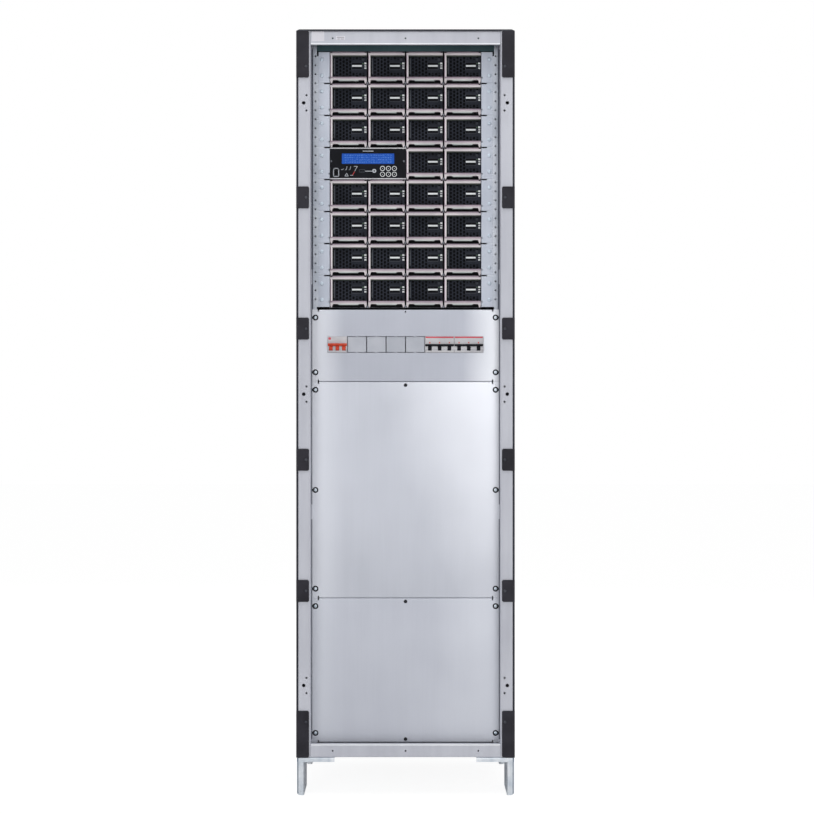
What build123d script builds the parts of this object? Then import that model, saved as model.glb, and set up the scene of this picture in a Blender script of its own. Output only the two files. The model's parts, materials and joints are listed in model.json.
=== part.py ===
"""Free-standing dc power system: a rack cabinet on four folded feet that holds
eight shelves of plug-in rectifier modules, one controller, a panel of breakers
and two blank panels.

X runs to the right across the front, Y runs back, Z runs up from the floor.
All sizes are in millimetres. The cabinet is centred on X = 0 and Y = 0.
"""

import os
from math import cos, radians, sin

from build123d import *

os.makedirs("parts", exist_ok=True)

# Rectifier modules and the bays that they slide in
rectifier_width = 101.0
rectifier_depth = 300.0
bay_gap = 4.6
columns = 4
rows = 8
row_height = 88.9
running_gap = 0.3

# Shelves that carry the modules
shelf_sheet = 1.5
shelf_side_gap = 1.6
ear_gap = 4.0
ear_width = 30.8
shelf_wall_height = 78.0
floor_setback = 18.0
guide_width = 3.0
guide_height = 6.0

# Rack rails
rail_clearance = 14.0
rail_strip_width = 20.0
rail_face_width = 13.0
rail_sheet = 2.0
rail_flange = 40.0
rail_setback = 56.0
rail_hole_pitch = 25.0
rail_hole_inset = 9.0
rail_hole_radius = 2.5
rail_strip_drop = 13.0
rail_strip_rise = 2.0

# Front panels
panel_sheet = 1.5
panel_side_gap = 2.0
panel_fold = 12.0
panel_fold_gap = 6.0
relief_width = 3.0
relief_depth = 5.0
lower_panel_height = 400.0
middle_panel_height = 600.0
breaker_panel_height = 200.0
panel_joint = 0.5
panel_stack_bottom = 31.3
shelf_stack_gap = 5.5
shelf_stack_top_margin = 51.0
screw_top_margin = 22.0
screw_bottom_margin = 26.0
screw_slot_width = 7.0
centre_screw_margin = 9.0
centre_hole_margin = 6.3
centre_hole_radius = 2.0

# Cabinet frame
cabinet_depth = 600.0
foot_height = 105.0
upright_width = 33.0
upright_depth = 45.0
frame_sheet = 2.0
upright_hole_radius = 4.5
upright_hole_inset = 18.5
upright_hole_pitch = 800.0
top_bar_height = 34.0
top_bar_lip = 25.0
bottom_bar_height = 35.5
bottom_bar_lip = 22.0
bar_hole_radius = 2.0
bar_hole_pitch = 200.0
depth_bar_height = 40.0
depth_bar_levels = 4

# Outer skin
skin_sheet = 1.2
side_fold = 5.8
skin_clearance = 0.2
roof_height = 5.5
roof_slope = 55.0
roof_rim = 8.0
rear_cover_depth = 4.0
rear_cover_inset = 7.0
vent_slot_length = 120.0
vent_slot_height = 6.0
vent_column_gap = 24.0
vent_columns = 3
cable_entry_width = 320.0
cable_entry_depth = 110.0

# Clips that hold the side panels to the uprights
clip_width = 35.0
clip_thickness = 4.0
clip_height = 60.0
corner_clip_height = 128.0
clip_corner = 3.0
clip_pitch = 360.0
middle_clips = 4
corner_clip_screw = 97.0
clip_screw_inset = 27.0
clip_recess_radius = 5.0
clip_recess_depth = 2.4

# Feet
foot_plate_length = 103.0
foot_leg_width = 19.0
foot_depth = 147.0
foot_sheet = 3.0
foot_rim = 13.5
foot_corner = 5.0
foot_side_inset = 2.0
foot_front_inset = 8.0

# Face of a rectifier module
bezel_depth = 14.0
bezel_strip = 4.5
top_lip = 12.0
bottom_strip_top = 20.3
bottom_strip_bottom = 10.3
tongue_width = 60.0
tongue_drop = 3.9
tongue_slant = 4.0
leg_top_width = 6.5
leg_tip_width = 2.5
leg_bottom = 1.0
lip_top_gap = 0.5
case_top = 84.0
face_relief = 1.5
label_plate_width = 31.5
label_plate_height = 23.0
label_plate_x = 24.0
label_plate_z = 49.6
plug_width = 60.0
plug_height = 12.0
plug_z = 40.0

# Backplanes and busbars
backplane_sheet = 3.0
backplane_gap = 4.0
backplane_height = 72.0
busbar_width = 40.0
busbar_thickness = 8.0
busbar_spacing = 140.0
busbar_end_inset = 20.0

# Row of breakers
device_row_height = 103.2
device_face_height = 45.0
device_body_height = 85.0
device_proud = 2.0
device_nose_depth = 10.0
device_body_depth = 44.0
switch_pole = 18.0
breaker_pole = 27.0
poles = 3
cover_width = 54.0
cover_count = 4
cover_gap = 0.8
cover_sheet = 2.0
cover_leg_width = 12.0
cover_leg_length = 9.0
cover_leg_setback = 0.5
device_gap = 0.3
cutout_gap = 0.3
lever_hub_radius = 7.5
lever_hub_gap = 0.5
lever_hub_drop = 9.5
lever_hub_sink = 3.0
lever_end_gap = 1.0
lever_angle = 42.0
lever_thickness = 4.5
lever_width = 9.4
switch_lever_reach = 17.0
breaker_lever_reach = 14.0
tie_bar_height = 5.5

# Top-hat rail and its brackets
top_hat_height = 35.0
top_hat_crown = 25.0
top_hat_depth = 7.5
top_hat_sheet = 1.0
top_hat_grip = 5.0
top_hat_slack = 0.3
bracket_height = 50.0
bracket_sheet = 2.0
bracket_length = 38.0
bracket_inset = 3.0

# Controller
controller_row_index = 3
controller_columns = 2
controller_end_gap = 1.2
controller_face_depth = 8.0
controller_rim = 4.0
controller_rim_proud = 2.0
controller_body_depth = 200.0
controller_body_inset = 4.0
controller_body_height = 72.0
display_width = 146.0
display_height = 29.4
display_x = 104.8
display_z = 58.0
display_sheet = 3.0
display_recess = 1.0
display_gap = 0.3
port_width = 9.2
port_height = 12.8
port_x = 16.3
port_z = 18.0
port_depth = 6.0

# Screws
screw_head_radius = 5.0
screw_head_height = 2.2
screw_shank_radius = 2.2
screw_shank_gap = 0.2
screw_tail = 4.0
shelf_screw_head_radius = 5.5
shelf_screw_inset = 22.0
shelf_screw_edge = 8.8
clip_screw_head_radius = 4.4
clip_screw_head_height = 1.8

# Small rounds that repeat many times are drawn with few sides, and those that
# repeat most, or that a screw's head hides, with the fewest
head_sides = 6
hole_sides = 6
shank_sides = 4

# Places across the cabinet
bay_pitch = rectifier_width + bay_gap
bays_half_width = (columns * bay_pitch - bay_gap) / 2
shelf_inner_x = bays_half_width + shelf_side_gap
shelf_outer_x = shelf_inner_x + shelf_sheet
rail_strip_x = shelf_outer_x + rail_clearance
rail_inner_x = rail_strip_x + rail_strip_width
rail_outer_x = rail_inner_x + rail_face_width
upright_inner_x = rail_outer_x + panel_side_gap
upright_outer_x = upright_inner_x + upright_width
side_panel_inner_x = upright_outer_x + skin_clearance
cabinet_half_width = side_panel_inner_x + side_fold
rail_hole_x = rail_outer_x - rail_hole_inset
shelf_screw_x = shelf_inner_x + ear_width - shelf_screw_edge

# Places from front to back
front_y = -cabinet_depth / 2
rear_y = cabinet_depth / 2
frame_front_y = front_y + clip_thickness
frame_rear_y = rear_y - rear_cover_depth
rail_front_y = frame_front_y + rail_setback
panel_front_y = rail_front_y - panel_sheet
backplane_front_y = panel_front_y + rectifier_depth + backplane_gap
shelf_rear_y = backplane_front_y + backplane_sheet

# Places from the floor up
cabinet_bottom = foot_height
lower_panel_bottom = cabinet_bottom + panel_stack_bottom
middle_panel_bottom = lower_panel_bottom + lower_panel_height + panel_joint
breaker_panel_bottom = middle_panel_bottom + middle_panel_height + panel_joint
shelf_stack_bottom = breaker_panel_bottom + breaker_panel_height + shelf_stack_gap
shelf_stack_top = shelf_stack_bottom + rows * row_height
cabinet_top = shelf_stack_top + shelf_stack_top_margin
frame_top = cabinet_top - roof_height
base_plate_top = cabinet_bottom + frame_sheet + skin_sheet
device_row_z = breaker_panel_bottom + device_row_height


def row_bottom(row):
    """Bottom of a shelf's space. Row 0 is the top one."""
    return shelf_stack_top - (row + 1) * row_height


def bay_x(column):
    """Middle of a bay. Column 0 is the left one."""
    return (column - (columns - 1) / 2) * bay_pitch


# Places of the clips and of their screws, up the front uprights
upright_middle_z = (cabinet_bottom + frame_top) / 2
clip_x = cabinet_half_width - clip_width / 2
clip_screw_x = cabinet_half_width - clip_screw_inset
clip_steps = [i - (middle_clips - 1) / 2 for i in range(middle_clips)]
middle_clip_zs = [upright_middle_z + step * clip_pitch for step in clip_steps]
corner_clip_zs = (
    cabinet_bottom + corner_clip_height / 2,
    frame_top - corner_clip_height / 2,
)
clip_screw_places = [(clip_screw_x, z) for z in middle_clip_zs]
clip_screw_places.append((clip_screw_x, cabinet_bottom + corner_clip_screw))
clip_screw_places.append((clip_screw_x, frame_top - corner_clip_screw))
shank_hole_radius = screw_shank_radius + screw_shank_gap

# Uprights: C sections, open towards the side panels
upright_hole_x = upright_inner_x + upright_hole_inset
with BuildPart() as frame_uprights:
    with BuildSketch(Plane.XY.offset(cabinet_bottom)):
        with Locations((upright_inner_x, frame_front_y)):
            Rectangle(upright_width, upright_depth, align=(Align.MIN, Align.MIN))
        with Locations((upright_inner_x + frame_sheet, frame_front_y + frame_sheet)):
            Rectangle(
                upright_width - frame_sheet,
                upright_depth - 2 * frame_sheet,
                align=(Align.MIN, Align.MIN),
                mode=Mode.SUBTRACT,
            )
    extrude(amount=frame_top - cabinet_bottom)
    with BuildSketch(Plane.XZ.offset(-frame_front_y)):
        with Locations((upright_hole_x, upright_middle_z)):
            with GridLocations(0, upright_hole_pitch, 1, 3):
                RegularPolygon(upright_hole_radius, head_sides)
    extrude(amount=-frame_sheet, mode=Mode.SUBTRACT)
    mirror(about=Plane.XZ)
    with BuildSketch(Plane.XZ.offset(-frame_front_y)):
        with Locations(*clip_screw_places):
            RegularPolygon(shank_hole_radius, shank_sides)
    extrude(amount=-frame_sheet, mode=Mode.SUBTRACT)
    mirror(about=Plane.YZ)
frame_uprights.part.label = "frame_uprights"
export_step(frame_uprights.part, "parts/frame_uprights.step")

# Crossbars: C sections at the top and bottom of the front and the rear
top_bar_bottom = frame_top - top_bar_height
with BuildPart() as frame_crossbars:
    for bar_bottom, bar_height, bar_lip in (
        (cabinet_bottom, bottom_bar_height, bottom_bar_lip),
        (top_bar_bottom, top_bar_height, top_bar_lip),
    ):
        with BuildSketch(Plane.YZ.offset(-upright_inner_x)):
            with Locations((frame_front_y, bar_bottom)):
                Rectangle(bar_lip, bar_height, align=(Align.MIN, Align.MIN))
            with Locations((frame_front_y + frame_sheet, bar_bottom + frame_sheet)):
                Rectangle(
                    bar_lip - frame_sheet,
                    bar_height - 2 * frame_sheet,
                    align=(Align.MIN, Align.MIN),
                    mode=Mode.SUBTRACT,
                )
        extrude(amount=2 * upright_inner_x)
    mirror(about=Plane.XZ)
    with BuildSketch(Plane.XZ.offset(-frame_front_y)):
        with Locations(
            (0, cabinet_bottom + bottom_bar_height / 2),
            (0, top_bar_bottom + top_bar_height / 2),
        ):
            with GridLocations(bar_hole_pitch, 0, 3, 1):
                RegularPolygon(bar_hole_radius, hole_sides)
    extrude(amount=-frame_sheet, mode=Mode.SUBTRACT)
frame_crossbars.part.label = "frame_crossbars"
export_step(frame_crossbars.part, "parts/frame_crossbars.step")

# Depth bars: C sections that tie the front uprights to the rear ones
depth_bar_front_y = frame_front_y + upright_depth
depth_bar_rear_y = frame_rear_y - upright_depth
depth_bar_step = (frame_top - cabinet_bottom - depth_bar_height) / (depth_bar_levels - 1)
with BuildPart() as frame_depth_bars:
    for level in range(depth_bar_levels):
        bar_bottom = cabinet_bottom + level * depth_bar_step
        with BuildSketch(Plane.XZ.offset(-depth_bar_front_y)):
            with Locations((rail_outer_x, bar_bottom)):
                Rectangle(
                    upright_outer_x - rail_outer_x,
                    depth_bar_height,
                    align=(Align.MIN, Align.MIN),
                )
            with Locations((rail_outer_x + frame_sheet, bar_bottom + frame_sheet)):
                Rectangle(
                    upright_outer_x - rail_outer_x - frame_sheet,
                    depth_bar_height - 2 * frame_sheet,
                    align=(Align.MIN, Align.MIN),
                    mode=Mode.SUBTRACT,
                )
        extrude(amount=-(depth_bar_rear_y - depth_bar_front_y))
    mirror(about=Plane.YZ)
frame_depth_bars.part.label = "frame_depth_bars"
export_step(frame_depth_bars.part, "parts/frame_depth_bars.step")

# Rack rails: folded strips with a wider stretch that carries the shelves
rail_top = frame_top - frame_sheet
strip_bottom = shelf_stack_bottom + rail_strip_rise
strip_top = shelf_stack_top - rail_strip_drop
rail_hole_count = int(rows * row_height / rail_hole_pitch)
panels = (
    (lower_panel_bottom, lower_panel_height),
    (middle_panel_bottom, middle_panel_height),
    (breaker_panel_bottom, breaker_panel_height),
)
panel_screw_places = [(rail_hole_x, middle_panel_bottom + middle_panel_height / 2)]
for bottom, height in panels:
    panel_screw_places.append((rail_hole_x, bottom + screw_bottom_margin))
    panel_screw_places.append((rail_hole_x, bottom + height - screw_top_margin))
shelf_screw_places = []
for row in range(rows):
    shelf_screw_places.append((shelf_screw_x, row_bottom(row) + shelf_screw_inset))
    shelf_screw_places.append(
        (shelf_screw_x, row_bottom(row) + row_height - shelf_screw_inset)
    )
with BuildPart() as rack_rails:
    with BuildSketch(Plane.XY.offset(base_plate_top)):
        with Locations((rail_inner_x, rail_front_y)):
            Rectangle(rail_face_width, rail_flange, align=(Align.MIN, Align.MIN))
        with Locations((rail_inner_x, rail_front_y + rail_sheet)):
            Rectangle(
                rail_face_width - rail_sheet,
                rail_flange,
                align=(Align.MIN, Align.MIN),
                mode=Mode.SUBTRACT,
            )
    extrude(amount=rail_top - base_plate_top)
    with BuildSketch(Plane.XZ.offset(-rail_front_y)):
        with Locations((rail_strip_x, strip_bottom)):
            Rectangle(
                rail_strip_width, strip_top - strip_bottom, align=(Align.MIN, Align.MIN)
            )
    extrude(amount=-rail_sheet)
    with BuildSketch(Plane.XZ.offset(-rail_front_y)):
        for i in range(rail_hole_count):
            with Locations((rail_hole_x, strip_top - i * rail_hole_pitch)):
                RegularPolygon(rail_hole_radius, shank_sides)
        with Locations(*panel_screw_places, *shelf_screw_places):
            RegularPolygon(shank_hole_radius, shank_sides)
    extrude(amount=-rail_sheet, mode=Mode.SUBTRACT)
    mirror(about=Plane.YZ)
rack_rails.part.label = "rack_rails"
export_step(rack_rails.part, "parts/rack_rails.step")

# Side panels: one sheet each, with its front and rear edges folded inwards
with BuildPart() as side_panels:
    with BuildSketch(Plane.XY.offset(cabinet_bottom)):
        with Locations((side_panel_inner_x, frame_front_y)):
            Rectangle(
                side_fold, frame_rear_y - frame_front_y, align=(Align.MIN, Align.MIN)
            )
        with Locations((side_panel_inner_x, frame_front_y + skin_sheet)):
            Rectangle(
                side_fold - skin_sheet,
                frame_rear_y - frame_front_y - 2 * skin_sheet,
                align=(Align.MIN, Align.MIN),
                mode=Mode.SUBTRACT,
            )
    extrude(amount=frame_top - cabinet_bottom)
    mirror(about=Plane.YZ)
side_panels.part.label = "side_panels"
export_step(side_panels.part, "parts/side_panels.step")

# Clips: moulded blocks that hold each side panel's front edge to its upright
with BuildPart() as side_panel_clips:
    with BuildSketch(Plane.XZ.offset(-front_y)) as clip_outline:
        with Locations(*[(clip_x, z) for z in middle_clip_zs]):
            Rectangle(clip_width, clip_height)
        with Locations(*[(clip_x, z) for z in corner_clip_zs]):
            Rectangle(clip_width, corner_clip_height)
        chamfer(clip_outline.vertices().group_by(Axis.X)[0], length=clip_corner)
    extrude(amount=-clip_thickness)
    with BuildSketch(Plane.XZ.offset(-front_y)):
        with Locations(*clip_screw_places):
            RegularPolygon(clip_recess_radius, head_sides)
    extrude(amount=-clip_recess_depth, mode=Mode.SUBTRACT)
    with BuildSketch(Plane.XZ.offset(-front_y)):
        with Locations(*clip_screw_places):
            RegularPolygon(shank_hole_radius, shank_sides)
    extrude(amount=-clip_thickness, mode=Mode.SUBTRACT)
    mirror(about=Plane.YZ)
side_panel_clips.part.label = "side_panel_clips"
export_step(side_panel_clips.part, "parts/side_panel_clips.step")

# Roof: a shallow tray with sloping edges
with BuildPart() as roof_panel:
    with BuildSketch(Plane.XY.offset(frame_top)):
        Rectangle(2 * cabinet_half_width, cabinet_depth)
    extrude(amount=roof_height, taper=roof_slope)
    with BuildSketch(Plane.XY.offset(frame_top)):
        Rectangle(
            2 * cabinet_half_width - 2 * roof_rim, cabinet_depth - 2 * roof_rim
        )
    extrude(amount=roof_height - skin_sheet, taper=roof_slope, mode=Mode.SUBTRACT)
roof_panel.part.label = "roof_panel"
export_step(roof_panel.part, "parts/roof_panel.step")

# Rear panel: a shallow tray with rows of air slots behind the rectifiers
rear_panel_width = 2 * (upright_outer_x - rear_cover_inset)
rear_panel_height = frame_top - cabinet_bottom - 2 * rear_cover_inset
vent_middle_z = (shelf_stack_bottom + shelf_stack_top) / 2
with BuildPart() as rear_panel:
    with BuildSketch(Plane.XZ.offset(-frame_rear_y)):
        with Locations((0, upright_middle_z)):
            Rectangle(rear_panel_width, rear_panel_height)
    extrude(amount=-rear_cover_depth)
    with BuildSketch(Plane.XZ.offset(-frame_rear_y)):
        with Locations((0, upright_middle_z)):
            Rectangle(
                rear_panel_width - 2 * skin_sheet, rear_panel_height - 2 * skin_sheet
            )
    extrude(amount=-(rear_cover_depth - skin_sheet), mode=Mode.SUBTRACT)
    with BuildSketch(Plane.XZ.offset(-frame_rear_y)):
        with Locations((0, vent_middle_z)):
            with GridLocations(
                vent_slot_length + vent_column_gap,
                row_height,
                vent_columns,
                rows,
            ):
                Rectangle(vent_slot_length, vent_slot_height)
    extrude(amount=-rear_cover_depth, mode=Mode.SUBTRACT)
rear_panel.part.label = "rear_panel"
export_step(rear_panel.part, "parts/rear_panel.step")

# Base plate: lies on the lower lips of the crossbars, with a cable entry
base_depth = frame_rear_y - frame_front_y - 2 * frame_sheet
with BuildPart() as base_plate:
    with BuildSketch(Plane.XY.offset(cabinet_bottom + frame_sheet)):
        Rectangle(2 * rail_outer_x, base_depth)
        with Locations((0, base_depth / 4)):
            Rectangle(cable_entry_width, cable_entry_depth, mode=Mode.SUBTRACT)
    extrude(amount=skin_sheet)
base_plate.part.label = "base_plate"
export_step(base_plate.part, "parts/base_plate.step")

# Feet: each is one folded sheet, a C-shaped leg under a rimmed top plate
foot_outer_x = cabinet_half_width - foot_side_inset
foot_inner_x = foot_outer_x - foot_plate_length
foot_leg_x = foot_outer_x - foot_leg_width
foot_front_y = front_y + foot_front_inset
with BuildPart() as feet:
    with BuildSketch(Plane.XY):
        with Locations((foot_leg_x, foot_front_y)):
            Rectangle(foot_leg_width, foot_depth, align=(Align.MIN, Align.MIN))
        with Locations((foot_leg_x + foot_sheet, foot_front_y + foot_sheet)):
            Rectangle(
                foot_leg_width - foot_sheet,
                foot_depth - 2 * foot_sheet,
                align=(Align.MIN, Align.MIN),
                mode=Mode.SUBTRACT,
            )
    extrude(amount=foot_height)
    lowest_edges = feet.edges().filter_by(Axis.Y).group_by(Axis.Z)[0]
    chamfer(lowest_edges.group_by(Axis.X)[-1], length=foot_corner)
    with BuildSketch(Plane.YZ.offset(foot_inner_x)):
        with Locations((foot_front_y, foot_height)):
            Rectangle(foot_depth, foot_rim, align=(Align.MIN, Align.MAX))
        with Locations((foot_front_y + foot_sheet, foot_height - foot_sheet)):
            Rectangle(
                foot_depth - 2 * foot_sheet,
                foot_rim,
                align=(Align.MIN, Align.MAX),
                mode=Mode.SUBTRACT,
            )
    extrude(amount=foot_plate_length)
    mirror(about=Plane.YZ)
    mirror(about=Plane.XZ)
feet.part.label = "feet"
export_step(feet.part, "parts/feet.step")

# Shelves: one folded tray for each row, with ears that screw to the rails
shelf_floor_top = ear_gap / 2
shelf_floor_front_y = panel_front_y + floor_setback
shelf_floor_depth = shelf_rear_y - shelf_floor_front_y
with BuildPart() as shelf:
    with BuildSketch(Plane.XY.offset(shelf_floor_top - shelf_sheet)):
        with Locations((0, shelf_floor_front_y)):
            Rectangle(
                2 * shelf_outer_x, shelf_floor_depth, align=(Align.CENTER, Align.MIN)
            )
    extrude(amount=shelf_sheet)
    with BuildSketch(Plane.XY.offset(shelf_floor_top)):
        with Locations((0, shelf_floor_front_y + shelf_floor_depth / 2)):
            with GridLocations(bay_pitch, 0, columns - 1, 1):
                Rectangle(guide_width, shelf_floor_depth)
    extrude(amount=guide_height)
    with BuildSketch(Plane.XY.offset(shelf_floor_top)):
        with Locations((shelf_inner_x, panel_front_y)):
            Rectangle(
                shelf_sheet, shelf_rear_y - panel_front_y, align=(Align.MIN, Align.MIN)
            )
        mirror(about=Plane.YZ)
    extrude(amount=shelf_wall_height)
    with BuildSketch(Plane.XZ.offset(-panel_front_y)):
        with Locations((shelf_inner_x + ear_width / 2, row_height / 2)):
            Rectangle(ear_width, row_height - ear_gap)
        with Locations(
            (shelf_screw_x, shelf_screw_inset),
            (shelf_screw_x, row_height - shelf_screw_inset),
        ):
            RegularPolygon(shank_hole_radius, shank_sides, mode=Mode.SUBTRACT)
        mirror(about=Plane.YZ)
    extrude(amount=-shelf_sheet)
with BuildPart() as rectifier_shelves:
    with Locations(*[(0, 0, row_bottom(row)) for row in range(rows)]):
        add(shelf.part)
rectifier_shelves.part.label = "rectifier_shelves"
export_step(rectifier_shelves.part, "parts/rectifier_shelves.step")

# Backplanes: one board at the rear of each shelf, which the plugs meet
with BuildPart() as backplane:
    with BuildSketch(Plane.XZ.offset(-backplane_front_y)):
        with Locations((0, shelf_floor_top + guide_height)):
            Rectangle(
                2 * shelf_inner_x, backplane_height, align=(Align.CENTER, Align.MIN)
            )
    extrude(amount=-backplane_sheet)
with BuildPart() as backplanes:
    with Locations(*[(0, 0, row_bottom(row)) for row in range(rows)]):
        add(backplane.part)
backplanes.part.label = "backplanes"
export_step(backplanes.part, "parts/backplanes.step")

# Busbars: two upright copper bars behind the backplanes
with BuildPart() as dc_busbars:
    with BuildSketch(Plane.XY.offset(shelf_stack_bottom + busbar_end_inset)):
        with Locations((0, shelf_rear_y + busbar_thickness / 2)):
            with GridLocations(busbar_spacing, 0, 2, 1):
                Rectangle(busbar_width, busbar_thickness)
    extrude(amount=rows * row_height - 2 * busbar_end_inset)
dc_busbars.part.label = "dc_busbars"
export_step(dc_busbars.part, "parts/dc_busbars.step")

# Rectifier: a closed case with a plug at the rear. Its face has a lip along
# the top, a strip on the left, and a strip below with two legs and a tongue
half_width = rectifier_width / 2
face_top = row_height - lip_top_gap
case_bottom = shelf_floor_top + running_gap
plug_length = backplane_gap - running_gap
with BuildPart() as rectifier:
    with BuildSketch(Plane.XZ):
        with BuildLine():
            Polyline(
                (-half_width, leg_bottom),
                (-half_width + leg_tip_width, leg_bottom),
                (-half_width + leg_top_width, bottom_strip_bottom),
                (-tongue_width / 2, bottom_strip_bottom),
                (-tongue_width / 2 + tongue_slant, bottom_strip_bottom - tongue_drop),
                (tongue_width / 2 - tongue_slant, bottom_strip_bottom - tongue_drop),
                (tongue_width / 2, bottom_strip_bottom),
                (half_width - leg_top_width, bottom_strip_bottom),
                (half_width - leg_tip_width, leg_bottom),
                (half_width, leg_bottom),
                (half_width, bottom_strip_top),
                (-half_width + bezel_strip, bottom_strip_top),
                (-half_width + bezel_strip, face_top - top_lip),
                (half_width, face_top - top_lip),
                (half_width, face_top),
                (-half_width, face_top),
                close=True,
            )
        make_face()
    extrude(amount=-bezel_depth)
    with BuildSketch(Plane.XZ.offset(-bezel_depth)):
        with Locations((0, case_bottom)):
            Rectangle(
                rectifier_width, case_top - case_bottom, align=(Align.CENTER, Align.MIN)
            )
    extrude(amount=-(rectifier_depth - bezel_depth))
    with BuildSketch(Plane.XZ.offset(-bezel_depth)):
        with Locations((label_plate_x, label_plate_z)):
            Rectangle(label_plate_width, label_plate_height)
    extrude(amount=face_relief)
    with BuildSketch(Plane.XZ.offset(-rectifier_depth)):
        with Locations((0, plug_z)):
            Rectangle(plug_width, plug_height)
    extrude(amount=-plug_length)

# The controller takes the first bays of its row, so they hold no rectifier
for row in range(rows):
    for column in range(columns):
        if row == controller_row_index and column < controller_columns:
            continue
        name = f"rectifier_r{row + 1}c{column + 1}"
        with BuildPart() as plugged_in:
            with Locations((bay_x(column), panel_front_y, row_bottom(row))):
                add(rectifier.part)
        plugged_in.part.label = name
        export_step(plugged_in.part, f"parts/{name}.step")

# Controller: a rimmed face with a display window and a port, and a flat housing
controller_width = controller_columns * bay_pitch - controller_end_gap
controller_left_x = bay_x(0) - half_width
controller_x = controller_left_x + controller_width / 2
controller_z = row_bottom(controller_row_index)
controller_bottom = controller_z + lip_top_gap
controller_top = controller_z + row_height - lip_top_gap
body_bottom = controller_z + shelf_floor_top + guide_height
display_place = (controller_left_x + display_x, controller_z + display_z)
with BuildPart() as controller_housing:
    with BuildSketch(Plane.XZ.offset(-panel_front_y)):
        with Locations((controller_x, (controller_bottom + controller_top) / 2)):
            Rectangle(controller_width, controller_top - controller_bottom)
    extrude(amount=-controller_face_depth)
    with BuildSketch(Plane.XZ.offset(-panel_front_y)):
        with Locations(
            (controller_x, controller_bottom + controller_rim / 2),
            (controller_x, controller_top - controller_rim / 2),
        ):
            Rectangle(controller_width, controller_rim)
    extrude(amount=controller_rim_proud)
    with BuildSketch(Plane.XZ.offset(-panel_front_y - controller_face_depth)):
        with Locations((controller_x, body_bottom)):
            Rectangle(
                controller_width - 2 * controller_body_inset,
                controller_body_height,
                align=(Align.CENTER, Align.MIN),
            )
    extrude(amount=-controller_body_depth)
    with BuildSketch(Plane.XZ.offset(-panel_front_y)):
        with Locations(display_place):
            Rectangle(display_width, display_height)
    extrude(amount=-(display_recess + display_sheet), mode=Mode.SUBTRACT)
    with BuildSketch(Plane.XZ.offset(-panel_front_y)):
        with Locations((controller_left_x + port_x, controller_z + port_z)):
            Rectangle(port_width, port_height)
    extrude(amount=-port_depth, mode=Mode.SUBTRACT)
controller_housing.part.label = "controller_housing"
export_step(controller_housing.part, "parts/controller_housing.step")

with BuildPart() as controller_display:
    with BuildSketch(Plane.XZ.offset(-panel_front_y - display_recess)):
        with Locations(display_place):
            Rectangle(display_width - 2 * display_gap, display_height - 2 * display_gap)
    extrude(amount=-display_sheet)
controller_display.part.label = "controller_display"
export_step(controller_display.part, "parts/controller_display.step")


def front_panel(bottom, height):
    """A sheet with folded top and bottom edges and screw slots at its sides."""
    fold_x = rail_inner_x - panel_fold_gap
    middle = bottom + height / 2
    screw_zs = [z for _, z in panel_screw_places if bottom < z < bottom + height]
    with BuildPart() as panel:
        with BuildSketch(Plane.XZ.offset(-panel_front_y)):
            with Locations((0, middle)):
                Rectangle(2 * rail_outer_x, height)
                with GridLocations(2 * fold_x + relief_width, height - relief_depth, 2, 2):
                    Rectangle(relief_width, relief_depth, mode=Mode.SUBTRACT)
            for z in screw_zs:
                with Locations((0, z)):
                    with GridLocations(2 * rail_outer_x, 0, 2, 1):
                        Rectangle(
                            2 * rail_hole_inset + screw_slot_width,
                            screw_slot_width,
                            mode=Mode.SUBTRACT,
                        )
        extrude(amount=-panel_sheet)
        with BuildSketch(Plane.XZ.offset(-rail_front_y)):
            with Locations((0, middle)):
                with GridLocations(0, height - panel_sheet, 1, 2):
                    Rectangle(2 * fold_x, panel_sheet)
        extrude(amount=-panel_fold)
    return panel.part


# Lower and middle panels: blank covers over the equipment space
centre_screw_places = (
    (0, lower_panel_bottom + centre_screw_margin),
    (0, lower_panel_bottom + lower_panel_height - centre_screw_margin),
    (0, middle_panel_bottom + middle_panel_height - centre_screw_margin),
)
with BuildPart() as lower_panel:
    add(front_panel(lower_panel_bottom, lower_panel_height))
    with BuildSketch(Plane.XZ.offset(-panel_front_y)):
        with Locations(*centre_screw_places[:2]):
            RegularPolygon(shank_hole_radius, shank_sides)
    extrude(amount=-panel_sheet, mode=Mode.SUBTRACT)
lower_panel.part.label = "lower_panel"
export_step(lower_panel.part, "parts/lower_panel.step")

with BuildPart() as middle_panel:
    add(front_panel(middle_panel_bottom, middle_panel_height))
    with BuildSketch(Plane.XZ.offset(-panel_front_y)):
        with Locations(centre_screw_places[2]):
            RegularPolygon(shank_hole_radius, shank_sides)
    extrude(amount=-panel_sheet, mode=Mode.SUBTRACT)
middle_panel.part.label = "middle_panel"
export_step(middle_panel.part, "parts/middle_panel.step")

# Breaker panel: the same sheet with one long window for the row of devices
switch_width = poles * switch_pole
breaker_width = poles * breaker_pole
device_row_width = switch_width + cover_count * cover_width + 2 * breaker_width
window_height = device_face_height + 2 * cutout_gap
with BuildPart() as breaker_panel:
    add(front_panel(breaker_panel_bottom, breaker_panel_height))
    with BuildSketch(Plane.XZ.offset(-panel_front_y)):
        with Locations((0, device_row_z)):
            Rectangle(device_row_width + 2 * cutout_gap, window_height)
        with Locations(
            (0, breaker_panel_bottom + breaker_panel_height - centre_hole_margin)
        ):
            RegularPolygon(centre_hole_radius, hole_sides)
    extrude(amount=-panel_sheet, mode=Mode.SUBTRACT)
breaker_panel.part.label = "breaker_panel"
export_step(breaker_panel.part, "parts/breaker_panel.step")

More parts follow.
